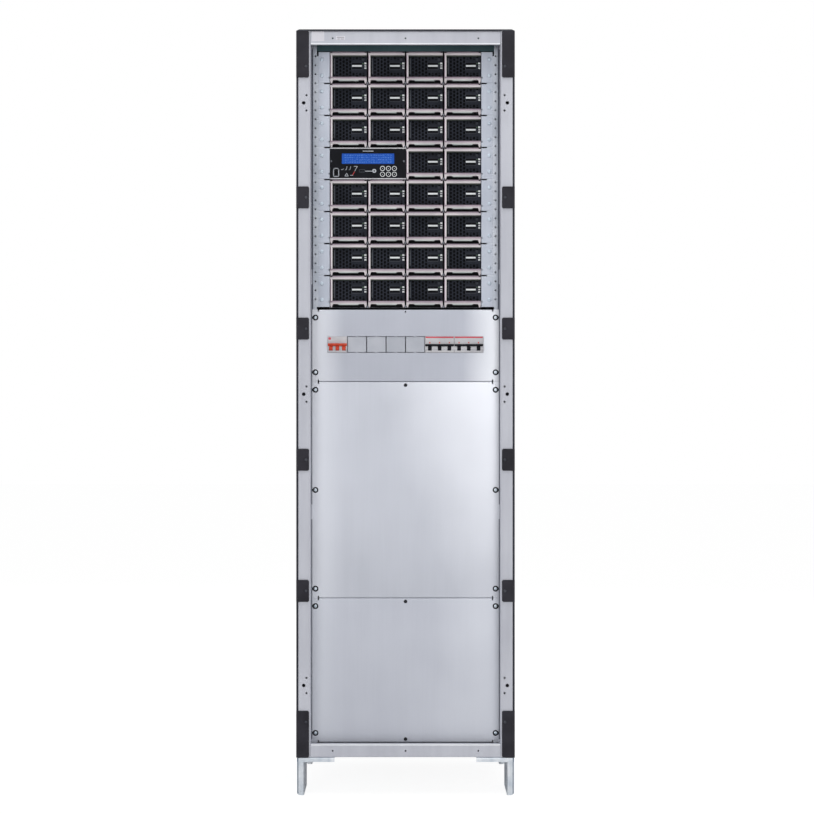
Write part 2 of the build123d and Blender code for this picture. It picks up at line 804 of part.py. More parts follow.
# Blank covers: snap-in plates that fill the unused places in the window
covers_left_x = -device_row_width / 2 + switch_width
with BuildPart() as blank_covers:
    with BuildSketch(Plane.XZ.offset(-panel_front_y)):
        for i in range(cover_count):
            with Locations((covers_left_x + (i + 0.5) * cover_width, device_row_z)):
                Rectangle(cover_width - 2 * cover_gap, device_face_height - 2 * cover_gap)
    extrude(amount=-cover_sheet)
    with BuildSketch(Plane.XZ.offset(-panel_front_y - cover_leg_setback)):
        for i in range(cover_count):
            with Locations((covers_left_x + (i + 0.5) * cover_width, device_row_z)):
                Rectangle(cover_leg_width, window_height)
                Rectangle(
                    cover_leg_width, window_height - 2 * cover_sheet, mode=Mode.SUBTRACT
                )
    extrude(amount=-cover_leg_length)
blank_covers.part.label = "blank_covers"
export_step(blank_covers.part, "parts/blank_covers.step")

# Breakers and main switch: stepped housings on a top-hat rail. Each has a round
# hollow across its nose, in which the hub of its lever turns
nose_y = panel_front_y - device_proud
shoulder_y = nose_y + device_nose_depth
device_rear_y = shoulder_y + device_body_depth
top_hat_front_y = device_rear_y - top_hat_grip
hub_y = nose_y + lever_hub_sink
hub_z = device_row_z - lever_hub_drop
hub_place = (hub_y, hub_z)


def device_housing(left_x, width):
    """The housing of a device of the given width, placed by its left side."""
    with BuildPart() as housing:
        with BuildSketch(Plane.YZ.offset(left_x + device_gap / 2)):
            with Locations((nose_y, device_row_z)):
                Rectangle(
                    device_nose_depth, device_face_height, align=(Align.MIN, Align.CENTER)
                )
            with Locations((shoulder_y, device_row_z)):
                Rectangle(
                    device_body_depth, device_body_height, align=(Align.MIN, Align.CENTER)
                )
            with Locations((device_rear_y, device_row_z)):
                Rectangle(
                    2 * top_hat_grip,
                    top_hat_height + 2 * top_hat_slack,
                    mode=Mode.SUBTRACT,
                )
            with Locations(hub_place):
                Circle(lever_hub_radius + lever_hub_gap, mode=Mode.SUBTRACT)
        extrude(amount=width - device_gap)
    return housing.part


def device_lever(left_x, pole_width, reach):
    """One hub across all poles, a toggle for each pole and a bar that ties them."""
    turn = 180 - lever_angle
    tie_reach = reach - tie_bar_height / 2
    tie_y = hub_y + tie_reach * cos(radians(turn))
    tie_z = hub_z + tie_reach * sin(radians(turn))
    lever_length = poles * pole_width - 2 * lever_end_gap
    with BuildPart() as lever:
        with BuildSketch(Plane.YZ.offset(left_x + lever_end_gap)):
            with Locations(hub_place):
                Circle(lever_hub_radius)
            with Locations((tie_y, tie_z)):
                Rectangle(tie_bar_height, lever_thickness, rotation=turn)
        extrude(amount=lever_length)
        for i in range(poles):
            toggle_x = left_x + (i + 0.5) * pole_width - lever_width / 2
            with BuildSketch(Plane.YZ.offset(toggle_x)):
                with Locations(hub_place):
                    Rectangle(
                        reach,
                        lever_thickness,
                        rotation=turn,
                        align=(Align.MIN, Align.CENTER),
                    )
            extrude(amount=lever_width)
    return lever.part


switch_left_x = -device_row_width / 2
left_breaker_x = device_row_width / 2 - 2 * breaker_width
right_breaker_x = device_row_width / 2 - breaker_width

with BuildPart() as main_switch:
    add(device_housing(switch_left_x, switch_width))
main_switch.part.label = "main_switch"
export_step(main_switch.part, "parts/main_switch.step")

with BuildPart() as main_switch_lever:
    add(device_lever(switch_left_x, switch_pole, switch_lever_reach))
main_switch_lever.part.label = "main_switch_lever"
export_step(main_switch_lever.part, "parts/main_switch_lever.step")

with BuildPart() as left_breaker:
    add(device_housing(left_breaker_x, breaker_width))
left_breaker.part.label = "left_breaker"
export_step(left_breaker.part, "parts/left_breaker.step")

with BuildPart() as left_breaker_lever:
    add(device_lever(left_breaker_x, breaker_pole, breaker_lever_reach))
left_breaker_lever.part.label = "left_breaker_lever"
export_step(left_breaker_lever.part, "parts/left_breaker_lever.step")

with BuildPart() as right_breaker:
    add(device_housing(right_breaker_x, breaker_width))
right_breaker.part.label = "right_breaker"
export_step(right_breaker.part, "parts/right_breaker.step")

with BuildPart() as right_breaker_lever:
    add(device_lever(right_breaker_x, breaker_pole, breaker_lever_reach))
right_breaker_lever.part.label = "right_breaker_lever"
export_step(right_breaker_lever.part, "parts/right_breaker_lever.step")

# Top-hat rail that the devices clip onto
top_hat_rear_y = top_hat_front_y + top_hat_depth
with BuildPart() as din_rail:
    with BuildSketch(Plane.YZ.offset(-rail_inner_x)):
        with Locations((top_hat_front_y, device_row_z)):
            Rectangle(top_hat_sheet, top_hat_height, align=(Align.MIN, Align.CENTER))
            Rectangle(top_hat_depth, top_hat_crown, align=(Align.MIN, Align.CENTER))
            Rectangle(
                top_hat_depth - top_hat_sheet,
                top_hat_crown - 2 * top_hat_sheet,
                align=(Align.MIN, Align.CENTER),
                mode=Mode.SUBTRACT,
            )
    extrude(amount=2 * rail_inner_x)
din_rail.part.label = "din_rail"
export_step(din_rail.part, "parts/din_rail.step")

# Brackets: angles that hold the ends of the top-hat rail behind the rack rails
bracket_x = rail_outer_x - rail_sheet - bracket_inset
with BuildPart() as din_rail_brackets:
    with BuildSketch(Plane.XY.offset(device_row_z - bracket_height / 2)):
        with Locations((bracket_x, top_hat_rear_y)):
            Rectangle(bracket_length, bracket_sheet, align=(Align.MAX, Align.MIN))
        with Locations((bracket_x, rail_front_y + rail_sheet)):
            Rectangle(
                bracket_sheet,
                top_hat_rear_y - rail_front_y - rail_sheet,
                align=(Align.MAX, Align.MIN),
            )
    extrude(amount=bracket_height)
    mirror(about=Plane.YZ)
din_rail_brackets.part.label = "din_rail_brackets"
export_step(din_rail_brackets.part, "parts/din_rail_brackets.step")


def screws(places, face_y, head_radius, head_height, shank_length):
    """Screws with their heads on a face, and their shanks behind it."""
    with BuildPart() as group:
        with BuildSketch(Plane.XZ.offset(-face_y)):
            with Locations(*places):
                RegularPolygon(head_radius, head_sides)
        extrude(amount=head_height)
        with BuildSketch(Plane.XZ.offset(-face_y)):
            with Locations(*places):
                RegularPolygon(screw_shank_radius, shank_sides)
        extrude(amount=-shank_length)
    return group.part


# Screws of the front panels, of the shelves and of the side panel clips
with BuildPart() as panel_screws:
    shank_length = panel_sheet + rail_sheet + screw_tail
    add(
        screws(
            panel_screw_places,
            panel_front_y,
            screw_head_radius,
            screw_head_height,
            shank_length,
        )
    )
    mirror(about=Plane.YZ)
    add(
        screws(
            centre_screw_places,
            panel_front_y,
            screw_head_radius,
            screw_head_height,
            screw_tail,
        )
    )
panel_screws.part.label = "panel_screws"
export_step(panel_screws.part, "parts/panel_screws.step")

with BuildPart() as shelf_screws:
    add(
        screws(
            shelf_screw_places,
            panel_front_y,
            shelf_screw_head_radius,
            screw_head_height,
            shelf_sheet + rail_sheet + screw_tail,
        )
    )
    mirror(about=Plane.YZ)
shelf_screws.part.label = "shelf_screws"
export_step(shelf_screws.part, "parts/shelf_screws.step")

with BuildPart() as clip_screws:
    add(
        screws(
            clip_screw_places,
            front_y + clip_recess_depth,
            clip_screw_head_radius,
            clip_screw_head_height,
            clip_thickness - clip_recess_depth + frame_sheet + screw_tail,
        )
    )
    mirror(about=Plane.YZ)
clip_screws.part.label = "clip_screws"
export_step(clip_screws.part, "parts/clip_screws.step")
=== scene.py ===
import json
from math import atan2, cos, pi, radians, sin, tan

import bmesh
import bpy
from mathutils import Matrix, Vector

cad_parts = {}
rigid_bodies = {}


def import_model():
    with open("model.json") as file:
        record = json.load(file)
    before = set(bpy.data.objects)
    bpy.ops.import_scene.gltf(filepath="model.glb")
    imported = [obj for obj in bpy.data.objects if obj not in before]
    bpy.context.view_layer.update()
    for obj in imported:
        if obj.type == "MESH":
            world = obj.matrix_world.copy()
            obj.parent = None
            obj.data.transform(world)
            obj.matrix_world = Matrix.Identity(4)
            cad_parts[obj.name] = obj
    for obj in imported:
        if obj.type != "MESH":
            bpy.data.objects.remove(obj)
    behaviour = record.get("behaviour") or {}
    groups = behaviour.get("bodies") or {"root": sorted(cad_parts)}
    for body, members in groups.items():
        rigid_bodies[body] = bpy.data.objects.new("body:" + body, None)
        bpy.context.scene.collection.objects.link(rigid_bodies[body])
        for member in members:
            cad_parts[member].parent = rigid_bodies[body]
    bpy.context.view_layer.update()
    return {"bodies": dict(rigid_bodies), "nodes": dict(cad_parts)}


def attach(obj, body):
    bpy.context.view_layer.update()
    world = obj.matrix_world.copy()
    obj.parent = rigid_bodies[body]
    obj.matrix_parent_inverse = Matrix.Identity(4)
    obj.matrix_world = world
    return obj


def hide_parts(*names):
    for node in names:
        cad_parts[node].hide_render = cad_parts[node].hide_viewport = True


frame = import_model()

# Frame: four uprights, four crossbars and eight depth bars, C sections folded from
# 2 mm steel sheet in light grey powder paint and welded together. The two front
# crossbars have a hem with a painted highlight, and the upper one carries a label and a bare
# sticker.

MM = 0.001
SECTION_AXES = {"x": (1, 2, 0), "y": (0, 2, 1), "z": (0, 1, 2)}
frame_sheet, frame_bend = 2.0, 3.2
frame_front, frame_rear = -296.0, 296.0
cabinet_bottom, frame_top = 105.0, 2099.5
upright_in, upright_out, upright_depth = 261.0, 294.0, 45.0
hole_levels = (302.25, 1102.25, 1902.25)
holes_at_level = ((279.5, 0, 5.0), (272, 21, 2.9), (272, -21, 2.9))
drill_reach, drill_sides = 6, 16


def rounded(corners, steps=3):
    """A closed outline from (across, up, radius) corners, each one rounded."""
    outline = []
    for i, (across, up, radius) in enumerate(corners):
        corner = Vector((across, up))
        if radius == 0:
            outline.append(corner)
            continue
        back = (Vector(corners[i - 1][:2]) - corner).normalized()
        on = (Vector(corners[(i + 1) % len(corners)][:2]) - corner).normalized()
        half = back.angle(on) / 2
        centre = corner + (back + on).normalized() * (radius / sin(half))
        first = corner + back * (radius / tan(half)) - centre
        last = corner + on * (radius / tan(half)) - centre
        start = atan2(first.y, first.x)
        sweep = atan2(last.y, last.x) - start
        sweep -= 2 * pi * round(sweep / (2 * pi))
        for step in range(steps + 1):
            angle = start + sweep * step / steps
            outline.append(centre + Vector((cos(angle), sin(angle))) * radius)
    return outline


def folded(path, sheet, bend):
    """Section of a sheet folded along a path, which is the sheet's left side."""
    points = [Vector(point) for point in path]
    near, far = [], []
    for i, point in enumerate(points):
        runs = [b - a for a, b in zip(points, points[1:])]
        before = runs[max(i - 1, 0)].normalized()
        after = runs[min(i, len(runs) - 1)].normalized()
        right = Vector((before.y + after.y, -before.x - after.x))
        turn = before.x * after.y - before.y * after.x
        near_bend = 0 if turn == 0 else bend if turn < 0 else bend - sheet
        far_bend = 0 if turn == 0 else bend - sheet if turn < 0 else bend
        inner = point + right * (2 * sheet / right.length_squared)
        near.append((point.x, point.y, near_bend))
        far.append((inner.x, inner.y, far_bend))
    return rounded(near + far[::-1])


class Shape:
    """Solids gathered into one mesh. Sizes are in millimetres."""

    def __init__(self):
        self.form = bmesh.new()

    def skin(self, rings, ends, finish):
        """Faces between rings of points. The ends are capped, joined or open."""
        loops = [[self.form.verts.new(Vector(p) * MM) for p in ring] for ring in rings]
        made = []
        for lower, upper in zip(loops, loops[1:] + loops[:1]):
            if upper is loops[0] and ends != "joined":
                break
            for i in range(len(lower)):
                j = (i + 1) % len(lower)
                made.append(self.form.faces.new((lower[i], lower[j], upper[j], upper[i])))
        if ends == "capped":
            made.append(self.form.faces.new(loops[0]))
            made.append(self.form.faces.new(loops[-1]))
        for face in made:
            face.material_index = finish
        bmesh.ops.recalc_face_normals(self.form, faces=made)
        return self

    def prism(self, outline, axis, low, high, finish=0):
        """A bar of one section that runs along an axis from low to high."""
        first, second, along = SECTION_AXES[axis]
        rings = []
        for place in (low, high):
            ring = []
            for across, up in outline:
                point = [0, 0, 0]
                point[first], point[second], point[along] = across, up, place
                ring.append(point)
            rings.append(ring)
        return self.skin(rings, "capped", finish)

    def block(self, low, high, round_off=0, axis="y", finish=0):
        """A box whose edges along one axis are rounded."""
        first, second, along = SECTION_AXES[axis]
        sides = ((low, low), (high, low), (high, high), (low, high))
        corners = [(a[first], b[second], round_off) for a, b in sides]
        return self.prism(rounded(corners), axis, low[along], high[along], finish)

    def turned(self, profile, centre, axis, sides, finish=0, ends="capped"):
        """A round solid from (radius, along) points, turned about an axis."""
        first, second, along = SECTION_AXES[axis]
        rings = []
        for radius, place in profile:
            ring = []
            for i in range(sides):
                point = list(centre)
                point[first] += radius * cos(2 * pi * (i + 0.5) / sides)
                point[second] += radius * sin(2 * pi * (i + 0.5) / sides)
                point[along] += place
                ring.append(point)
            rings.append(ring)
        return self.skin(rings, ends, finish)

    def mirrored(self, axis):
        """The same solids again on the other side of the cabinet."""
        flip = Vector((1, 1, 1))
        flip["xyz".index(axis)] = -1
        copied = bmesh.ops.duplicate(self.form, geom=self.form.faces[:])["geom"]
        points = [part for part in copied if isinstance(part, bmesh.types.BMVert)]
        bmesh.ops.scale(self.form, vec=flip, verts=points)
        faces = [part for part in copied if isinstance(part, bmesh.types.BMFace)]
        bmesh.ops.reverse_faces(self.form, faces=faces)
        return self

    def mesh(self, *finishes):
        """The mesh, with its finishes in the order of their numbers."""
        made = bpy.data.meshes.new("shape")
        self.form.to_mesh(made)
        self.form.free()
        for finish in finishes:
            made.materials.append(finish.material)
        return made


posts = Shape()
for face, inward in ((frame_front, 1), (frame_rear, -1)):
    back = face + inward * upright_depth
    path = [(upright_out, face), (upright_in, face), (upright_in, back), (upright_out, back)]
    posts.prism(folded(path[::inward], frame_sheet, frame_bend), "z", cabinet_bottom, frame_top)
posts.mirrored("x")
holes = Shape()
for side in (-1, 1):
    for face in (frame_front, frame_rear):
        for level in hole_levels:
            for across, up, radius in holes_at_level:
                middle = (side * across, face, level + up)
                drill = [(radius, -drill_reach), (radius, drill_reach)]
                holes.turned(drill, middle, "y", drill_sides)


class Signal:
    """The output of one node. Sums and products of it add Math nodes."""

    def __init__(self, tree, socket):
        self.tree = tree
        self.socket = socket

    def maths(self, operation, first, second):
        settings = {"operation": operation}
        return self.tree.node("ShaderNodeMath", settings, {0: first, 1: second})

    def __add__(self, other):
        return self.maths("ADD", self, other)

    def __radd__(self, other):
        return self.maths("ADD", other, self)

    def __sub__(self, other):
        return self.maths("SUBTRACT", self, other)

    def __rsub__(self, other):
        return self.maths("SUBTRACT", other, self)

    def __mul__(self, other):
        return self.maths("MULTIPLY", self, other)

    def __rmul__(self, other):
        return self.maths("MULTIPLY", other, self)

    def __truediv__(self, other):
        return self.maths("DIVIDE", self, other)

    def __rtruediv__(self, other):
        return self.maths("DIVIDE", other, self)

    def __mod__(self, other):
        return self.maths("MODULO", self, other)

    def __rmod__(self, other):
        return self.maths("MODULO", other, self)

    def __gt__(self, other):
        return self.maths("GREATER_THAN", self, other)

    def __lt__(self, other):
        return self.maths("LESS_THAN", self, other)

    def whole(self):
        return self.maths("FLOOR", self, 0)


class Tree:
    """A node tree that is written as calls."""

    def node(self, kind, settings, inputs, output=0):
        made = self.tree.nodes.new(kind)
        for name, value in settings.items():
            setattr(made, name, value)
        for name, value in inputs.items():
            if isinstance(value, Signal):
                self.tree.links.new(value.socket, made.inputs[name])
            else:
                made.inputs[name].default_value = value
        return Signal(self, made.outputs[output]) if made.outputs else made


class Finish(Tree):
    """A material for one kind of surface."""

    def __init__(self, name, fixed):
        self.material = bpy.data.materials.new(name)
        self.material.use_nodes = True
        self.tree = self.material.node_tree
        self.shader = self.tree.nodes["Principled BSDF"]
        for socket, value in fixed.items():
            self.shader.inputs[socket].default_value = value
        self.place = self.node("ShaderNodeTexCoord", {}, {}, "Object")

    def noise(self, scale, detail, stretch=(1, 1, 1)):
        """Noise on the object's own coordinates, finer where scale is large."""
        place = self.node("ShaderNodeMapping", {}, {0: self.place, "Scale": stretch})
        inputs = {"Vector": place, "Scale": scale, "Detail": detail}
        return self.node("ShaderNodeTexNoise", {}, inputs, "Fac")

    def range(self, signal, low, high, to_low=0.0, to_high=1.0):
        """The stretch of a signal from low to high, brought to another range."""
        inputs = {0: signal, 1: low, 2: high, 3: to_low, 4: to_high}
        return self.node("ShaderNodeMapRange", {}, inputs)

    def tint(self, share, first, second):
        """The first colour, turned into the second as the share goes from 0 to 1."""
        inputs = {0: share, 6: first, 7: second}
        return self.node("ShaderNodeMix", {"data_type": "RGBA"}, inputs, 2)

    def feed(self, socket, signal):
        self.tree.links.new(signal.socket, self.shader.inputs[socket])

    def relief(self, height, depth, strength):
        """Small bumps from a height, with their depth in millimetres."""
        inputs = {"Height": height, "Distance": depth * MM, "Strength": strength}
        self.feed("Normal", self.node("ShaderNodeBump", {}, inputs))


def tone(red, green, blue):
    """A colour given as it looks on a screen, from 0 to 255, as linear values."""
    parts = [part / 255 for part in (red, green, blue)]
    return [p / 12.92 if p < 0.04045 else ((p + 0.055) / 1.055) ** 2.4 for p in parts] + [1]


def powder_coat(name, pale, dark, roughness=0.42, gloss=0.4):
    """Sprayed powder paint: orange peel, slow shifts of tone and a few dusty spots."""
    coat = Finish(name, {"Metallic": 0.0, "Specular IOR Level": gloss})
    drift = coat.noise(3.1, 3.0)
    streak = coat.noise(9.0, 4.0, (4, 4, 0.35))
    speck = coat.range(coat.noise(420.0, 1.0), 0.62, 0.74)
    share = coat.range(drift * 0.55 + streak * 0.45, 0.35, 0.66)
    painted = coat.tint(share, dark, pale)
    coat.feed("Base Color", coat.tint(speck * 0.25, painted, dark))
    coat.feed("Roughness", roughness + drift * 0.1 + speck * 0.1)
    peel = coat.noise(260.0, 2.0)
    coat.relief(peel + speck * 0.3, 0.12, 0.5)
    return coat


frame_paint = powder_coat("frame_paint", tone(205, 207, 216), tone(188, 190, 200))


def worked(mesh, *tools):
    """The mesh after modifiers, each given as (type, settings)."""
    bench = bpy.data.objects.new("bench", mesh)
    bpy.context.scene.collection.objects.link(bench)
    for kind, settings in tools:
        tool = bench.modifiers.new("tool", kind)
        for name, value in settings.items():
            setattr(tool, name, value)
    shown = bench.evaluated_get(bpy.context.evaluated_depsgraph_get())
    result = bpy.data.meshes.new_from_object(shown)
    bpy.data.objects.remove(bench)
    return result


def cut(mesh, cutter):
    """The mesh with the cutter's solids taken out of it."""
    cutter.materials.clear()
    for material in mesh.materials:
        cutter.materials.append(material)
    blade = bpy.data.objects.new("blade", cutter)
    bpy.context.scene.collection.objects.link(blade)
    settings = {"object": blade, "operation": "DIFFERENCE", "solver": "EXACT"}
    result = worked(mesh, ("BOOLEAN", settings))
    bpy.data.objects.remove(blade)
    return result


def smoothed(mesh):
    """The mesh with soft bends and crisp edges."""
    mesh.shade_smooth()
    mesh.set_sharp_from_angle(angle=radians(38))
    return worked(mesh, ("WEIGHTED_NORMAL", {"keep_sharp": True, "weight": 100}))


def piece(name, mesh, body="cabinet", stands_for=()):
    """Put a mesh in the scene as a piece that moves with a body."""
    made = bpy.data.objects.new(name, mesh)
    bpy.context.scene.collection.objects.link(made)
    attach(made, body)
    if stands_for:
        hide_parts(*stands_for)


mesh = smoothed(cut(posts.mesh(frame_paint), holes.mesh()))
piece("upright_posts", mesh, stands_for=["frame_uprights"])

bottom_bar_top, bottom_bar_lip = 140.5, 22
top_bar_bottom, top_bar_lip = 2065.5, 25
crossbar_hole, crossbar_hole_x, crossbar_hole_z = 2.5, (-200, 0, 200), (122.75, 2079.5)
spans = (
    (cabinet_bottom, bottom_bar_top, bottom_bar_lip),
    (top_bar_bottom, frame_top, top_bar_lip),
)
crossbars = Shape()
for bottom, top, lip in spans:
    for face, inward in ((frame_front, 1), (frame_rear, -1)):
        back = face + inward * lip
        path = [(back, bottom), (face, bottom), (face, top), (back, top)]
        section = folded(path[::inward], frame_sheet, frame_bend)
        crossbars.prism(section, "x", -upright_in, upright_in)
holes = Shape()
drill = [(crossbar_hole, -drill_reach), (crossbar_hole, drill_reach)]
for across in crossbar_hole_x:
    for up in crossbar_hole_z:
        holes.turned(drill, (across, frame_front, up), "y", drill_sides)

hem_height, hem_stand, hem_root = 4.4, 1.6, 3.0
top_hem_edge, bottom_hem_edge = top_bar_bottom - 3.3, bottom_bar_top + 0.5
hems = Shape()
for edge, up in ((top_hem_edge, 1), (bottom_hem_edge, -1)):
    crest = edge + up * hem_height
    section = [(frame_front + hem_root, edge, 0), (frame_front - 0.4, edge, 0.8)]
    section += [(frame_front - hem_stand, edge + up * 1.5, 0.5), (frame_front, crest, 0)]
    section.append((frame_front + hem_root, crest, 0))
    hems.prism(rounded(section), "x", 1 - upright_in, upright_in - 1)

papers = ((-257, -223, 2071.5, 2098), (-191, -166, 2075, 2085.5))
printed_bars = ((-188.5, 20, 2081.2), (-187, 6.5, 2076.6), (-178, 9, 2076.6))
paper_front, print_face, print_height = frame_front - 0.2, frame_front - 0.3, 1.5
labels = Shape()
for left, right, bottom, top in papers:
    labels.block((left, paper_front, bottom), (right, frame_front + 0.5, top), 0.8)
for left, width, up in printed_bars:
    high = (left + width, frame_front - 0.1, up + print_height)
    labels.block((left, print_face, up), high, 0.3, finish=1)


def joined(*meshes):
    """One mesh out of several, with their finishes kept."""
    form = bmesh.new()
    materials = []
    for mesh in meshes:
        start = len(form.faces)
        form.from_mesh(mesh)
        form.faces.ensure_lookup_table()
        for face in form.faces[start:]:
            material = mesh.materials[face.material_index]
            if material not in materials:
                materials.append(material)
            face.material_index = materials.index(material)
    result = bpy.data.meshes.new("joined")
    form.to_mesh(result)
    form.free()
    for material in materials:
        result.materials.append(material)
    return result


# The hems' paler paint is a painted highlight along their folded edges.
hem_highlight_paint = powder_coat("hem_highlight_paint", tone(244, 246, 250), tone(226, 230, 236), 0.3)
label_white = powder_coat("label_white", tone(224, 223, 230), tone(212, 211, 219), 0.5)
label_grey = powder_coat("label_grey", tone(150, 148, 154), tone(130, 128, 136), 0.5)
bars = cut(crossbars.mesh(frame_paint), holes.mesh())
mesh = joined(bars, hems.mesh(hem_highlight_paint), labels.mesh(label_white, label_grey))
piece("crossbars", smoothed(mesh), stands_for=["frame_crossbars"])


def eased(node, width, finish):
    """A CAD solid's mesh, merged, with its edges rounded a little."""
    form = bmesh.new()
    form.from_mesh(frame["nodes"][node].data)
    bmesh.ops.remove_doubles(form, verts=form.verts, dist=0.01 * MM)
    bmesh.ops.dissolve_limit(
        form, angle_limit=radians(0.5), verts=form.verts, edges=form.edges
    )
    mesh = bpy.data.meshes.new(node)
    form.to_mesh(mesh)
    form.free()
    mesh.materials.append(finish.material)
    settings = {"width": width * MM, "segments": 2, "angle_limit": radians(30)}
    return worked(mesh, ("BEVEL", settings))


def dressed(name, node, width, finish):
    """The piece for a CAD solid that has one finish and eased edges."""
    piece(name, smoothed(eased(node, width, finish)), stands_for=[node])


dressed("depth_bars", "frame_depth_bars", 0.6, frame_paint)

# Rack rails: two galvanised steel angles that carry the shelves and panels, each
# punched with a column of round holes and screwed to the depth bars. A grey
# strip up the outer side of each fills the gap by the upright with painted shade.


class Pattern(Tree):
    """A Geometry Nodes tree with named inputs, whose result is made a mesh."""

    def __init__(self, name, inputs):
        self.tree = bpy.data.node_groups.new(name, "GeometryNodeTree")
        sockets = self.tree.interface
        for label, kind in inputs.items():
            sockets.new_socket(label, in_out="INPUT", socket_type="NodeSocket" + kind)
        sockets.new_socket("Result", in_out="OUTPUT", socket_type="NodeSocketGeometry")
        self.entry = self.tree.nodes.new("NodeGroupInput")

    def given(self, label):
        return Signal(self, self.entry.outputs[label])

    def vector(self, operation, inputs):
        return self.node("ShaderNodeVectorMath", {"operation": operation}, inputs)

    def close(self, geometry):
        """End the tree: instances are made real and get their material."""
        real = self.node("GeometryNodeRealizeInstances", {}, {0: geometry})
        inputs = {"Geometry": real, "Material": self.given("Finish")}
        done = self.node("GeometryNodeSetMaterial", {}, inputs)
        leave = self.tree.nodes.new("NodeGroupOutput")
        self.tree.links.new(done.socket, leave.inputs[0])

    def made(self, mesh, finish, values):
        """The plain mesh that the tree gives for these inputs, in millimetres."""
        bench = bpy.data.objects.new("bench", mesh)
        bpy.context.scene.collection.objects.link(bench)
        tool = bench.modifiers.new("pattern", "NODES")
        tool.node_group = self.tree
        values = dict(values, Finish=finish.material)
        for item in self.tree.interface.items_tree:
            if item.name in values:
                value = values[item.name]
                scaled = [part * MM for part in value] if isinstance(value, tuple) else value
                tool[item.identifier] = scaled
        shown = bench.evaluated_get(bpy.context.evaluated_depsgraph_get())
        result = bpy.data.meshes.new_from_object(shown)
        bench.modifiers.remove(tool)
        bpy.data.objects.remove(bench)
        return result


rows_of = Pattern(
    "rows_of",
    {
        "Part": "Geometry",
        "Start": "Vector",
        "Across": "Vector",
        "Up": "Vector",
        "Stagger": "Vector",
        "Columns": "Int",
        "Rows": "Int",
        "Gap low": "Vector",
        "Gap high": "Vector",
        "Finish": "Material",
    },
)
total = rows_of.given("Columns") * rows_of.given("Rows")
line = rows_of.node("GeometryNodeMeshLine", {"mode": "OFFSET"}, {"Count": total})
number = rows_of.node("GeometryNodeInputIndex", {}, {}) + 0.5
column = (number % rows_of.given("Columns")).whole()
row = (number / rows_of.given("Columns")).whole()
across = rows_of.vector("SCALE", {0: rows_of.given("Across"), "Scale": column})
up = rows_of.vector("SCALE", {0: rows_of.given("Up"), "Scale": row})
aside = rows_of.vector("SCALE", {0: rows_of.given("Stagger"), "Scale": column % 2})
place = rows_of.vector("ADD", {0: rows_of.given("Start"), 1: across})
place = rows_of.vector("ADD", {0: place, 1: up})
place = rows_of.vector("ADD", {0: place, 1: aside})
line = rows_of.node("GeometryNodeSetPosition", {}, {"Geometry": line, "Position": place})
spot = rows_of.node("GeometryNodeInputPosition", {}, {})
in_gap = None
for axis in "XZ":
    here = rows_of.node("ShaderNodeSeparateXYZ", {}, {0: spot}, axis)
    low = rows_of.node("ShaderNodeSeparateXYZ", {}, {0: rows_of.given("Gap low")}, axis)
    high = rows_of.node("ShaderNodeSeparateXYZ", {}, {0: rows_of.given("Gap high")}, axis)
    inside = (here > low) * (here < high)
    in_gap = inside if in_gap is None else in_gap * inside
line = rows_of.node("GeometryNodeDeleteGeometry", {}, {"Geometry": line, "Selection": in_gap})
inputs = {"Points": line, "Instance": rows_of.given("Part")}
rows_of.close(rows_of.node("GeometryNodeInstanceOnPoints", {}, inputs))


def plated_steel(name, pale, dark, roughness=0.38, metallic=0.75, cloud=14.0, edge_shade=None):
    """Zinc-plated or galvanised sheet: soft clouds of tone and faint rolling streaks. An
    edge_shade darkens it near its outer sides, as a painted dark reflection.
    """
    plate = Finish(name, {"Metallic": metallic, "Specular IOR Level": 0.5})
    clouds = plate.noise(cloud, 4.0)
    streak = plate.noise(60.0, 3.0, (1, 1, 0.04))
    share = plate.range(clouds * 0.6 + streak * 0.4, 0.36, 0.64)
    colour = plate.tint(share, dark, pale)
    if edge_shade:
        start, stop, shade = edge_shade
        side = plate.node("ShaderNodeSeparateXYZ", {}, {0: plate.place}, "X")
        away = side.maths("MAXIMUM", side, side * -1)
        colour = plate.tint(plate.range(away, start * MM, stop * MM), colour, shade)
    plate.feed("Base Color", colour)
    plate.feed("Roughness", roughness + streak * 0.14)
    plate.relief(plate.noise(500.0, 2.0) + streak, 0.02, 0.6)
    return plate


galvanised = plated_steel("galvanised", tone(190, 194, 202), tone(160, 166, 176))

rail_front, rail_rear, rail_sheet, rail_bend = -240.0, -200.0, 2.0, 3.0
rail_out, rail_in, rail_low, rail_high = 259.0, 246.0, 108.2, 2097.5
strip_in, strip_low, strip_high = 226.0, 1344.8, 2041.0
rail_hole, rail_hole_x, rail_top_hole, rail_pitch, rail_holes = 2.5, 250.0, 2041.0, 25.0, 28
rails = Shape()
path = [(rail_out, rail_rear), (rail_out, rail_front), (rail_in, rail_front)]
rails.prism(folded(path, rail_sheet, rail_bend), "z", rail_low, rail_high)
rails.block((strip_in, rail_front, strip_low), (rail_in, rail_front + rail_sheet, strip_high))
rails.mirrored("x")
punch = Shape().turned([(rail_hole, -3), (rail_hole, 3)], (0, 0, 0), "y", 12).mesh()
holes = rows_of.made(
    punch,
    galvanised,
    {
        "Start": (-rail_hole_x, rail_front, rail_top_hole - (rail_holes - 1) * rail_pitch),
        "Across": (2 * rail_hole_x, 0.0, 0.0),
        "Up": (0.0, 0.0, rail_pitch),
        "Columns": 2,
        "Rows": rail_holes,
    },
)
# Grey strips beside the rails stand in for the shaded view into the gaps: painted shade.
gap_strip_out, gap_strip_front, gap_strip_rear = 265.0, rail_front + 0.6, rail_front + 3.0
gap_shade_strips = Shape()
gap_shade_strips.block((rail_out, gap_strip_front, rail_low), (gap_strip_out, gap_strip_rear, rail_high), 0.8, "z")
gap_shade_strips.mirrored("x")
gap_shade_grey = powder_coat("gap_shade_grey", tone(128, 133, 147), tone(110, 115, 129), 0.7, 0.2)
mesh = joined(cut(rails.mesh(galvanised), holes), gap_shade_strips.mesh(gap_shade_grey))
piece("punched_rails", smoothed(mesh), stands_for=["rack_rails"])
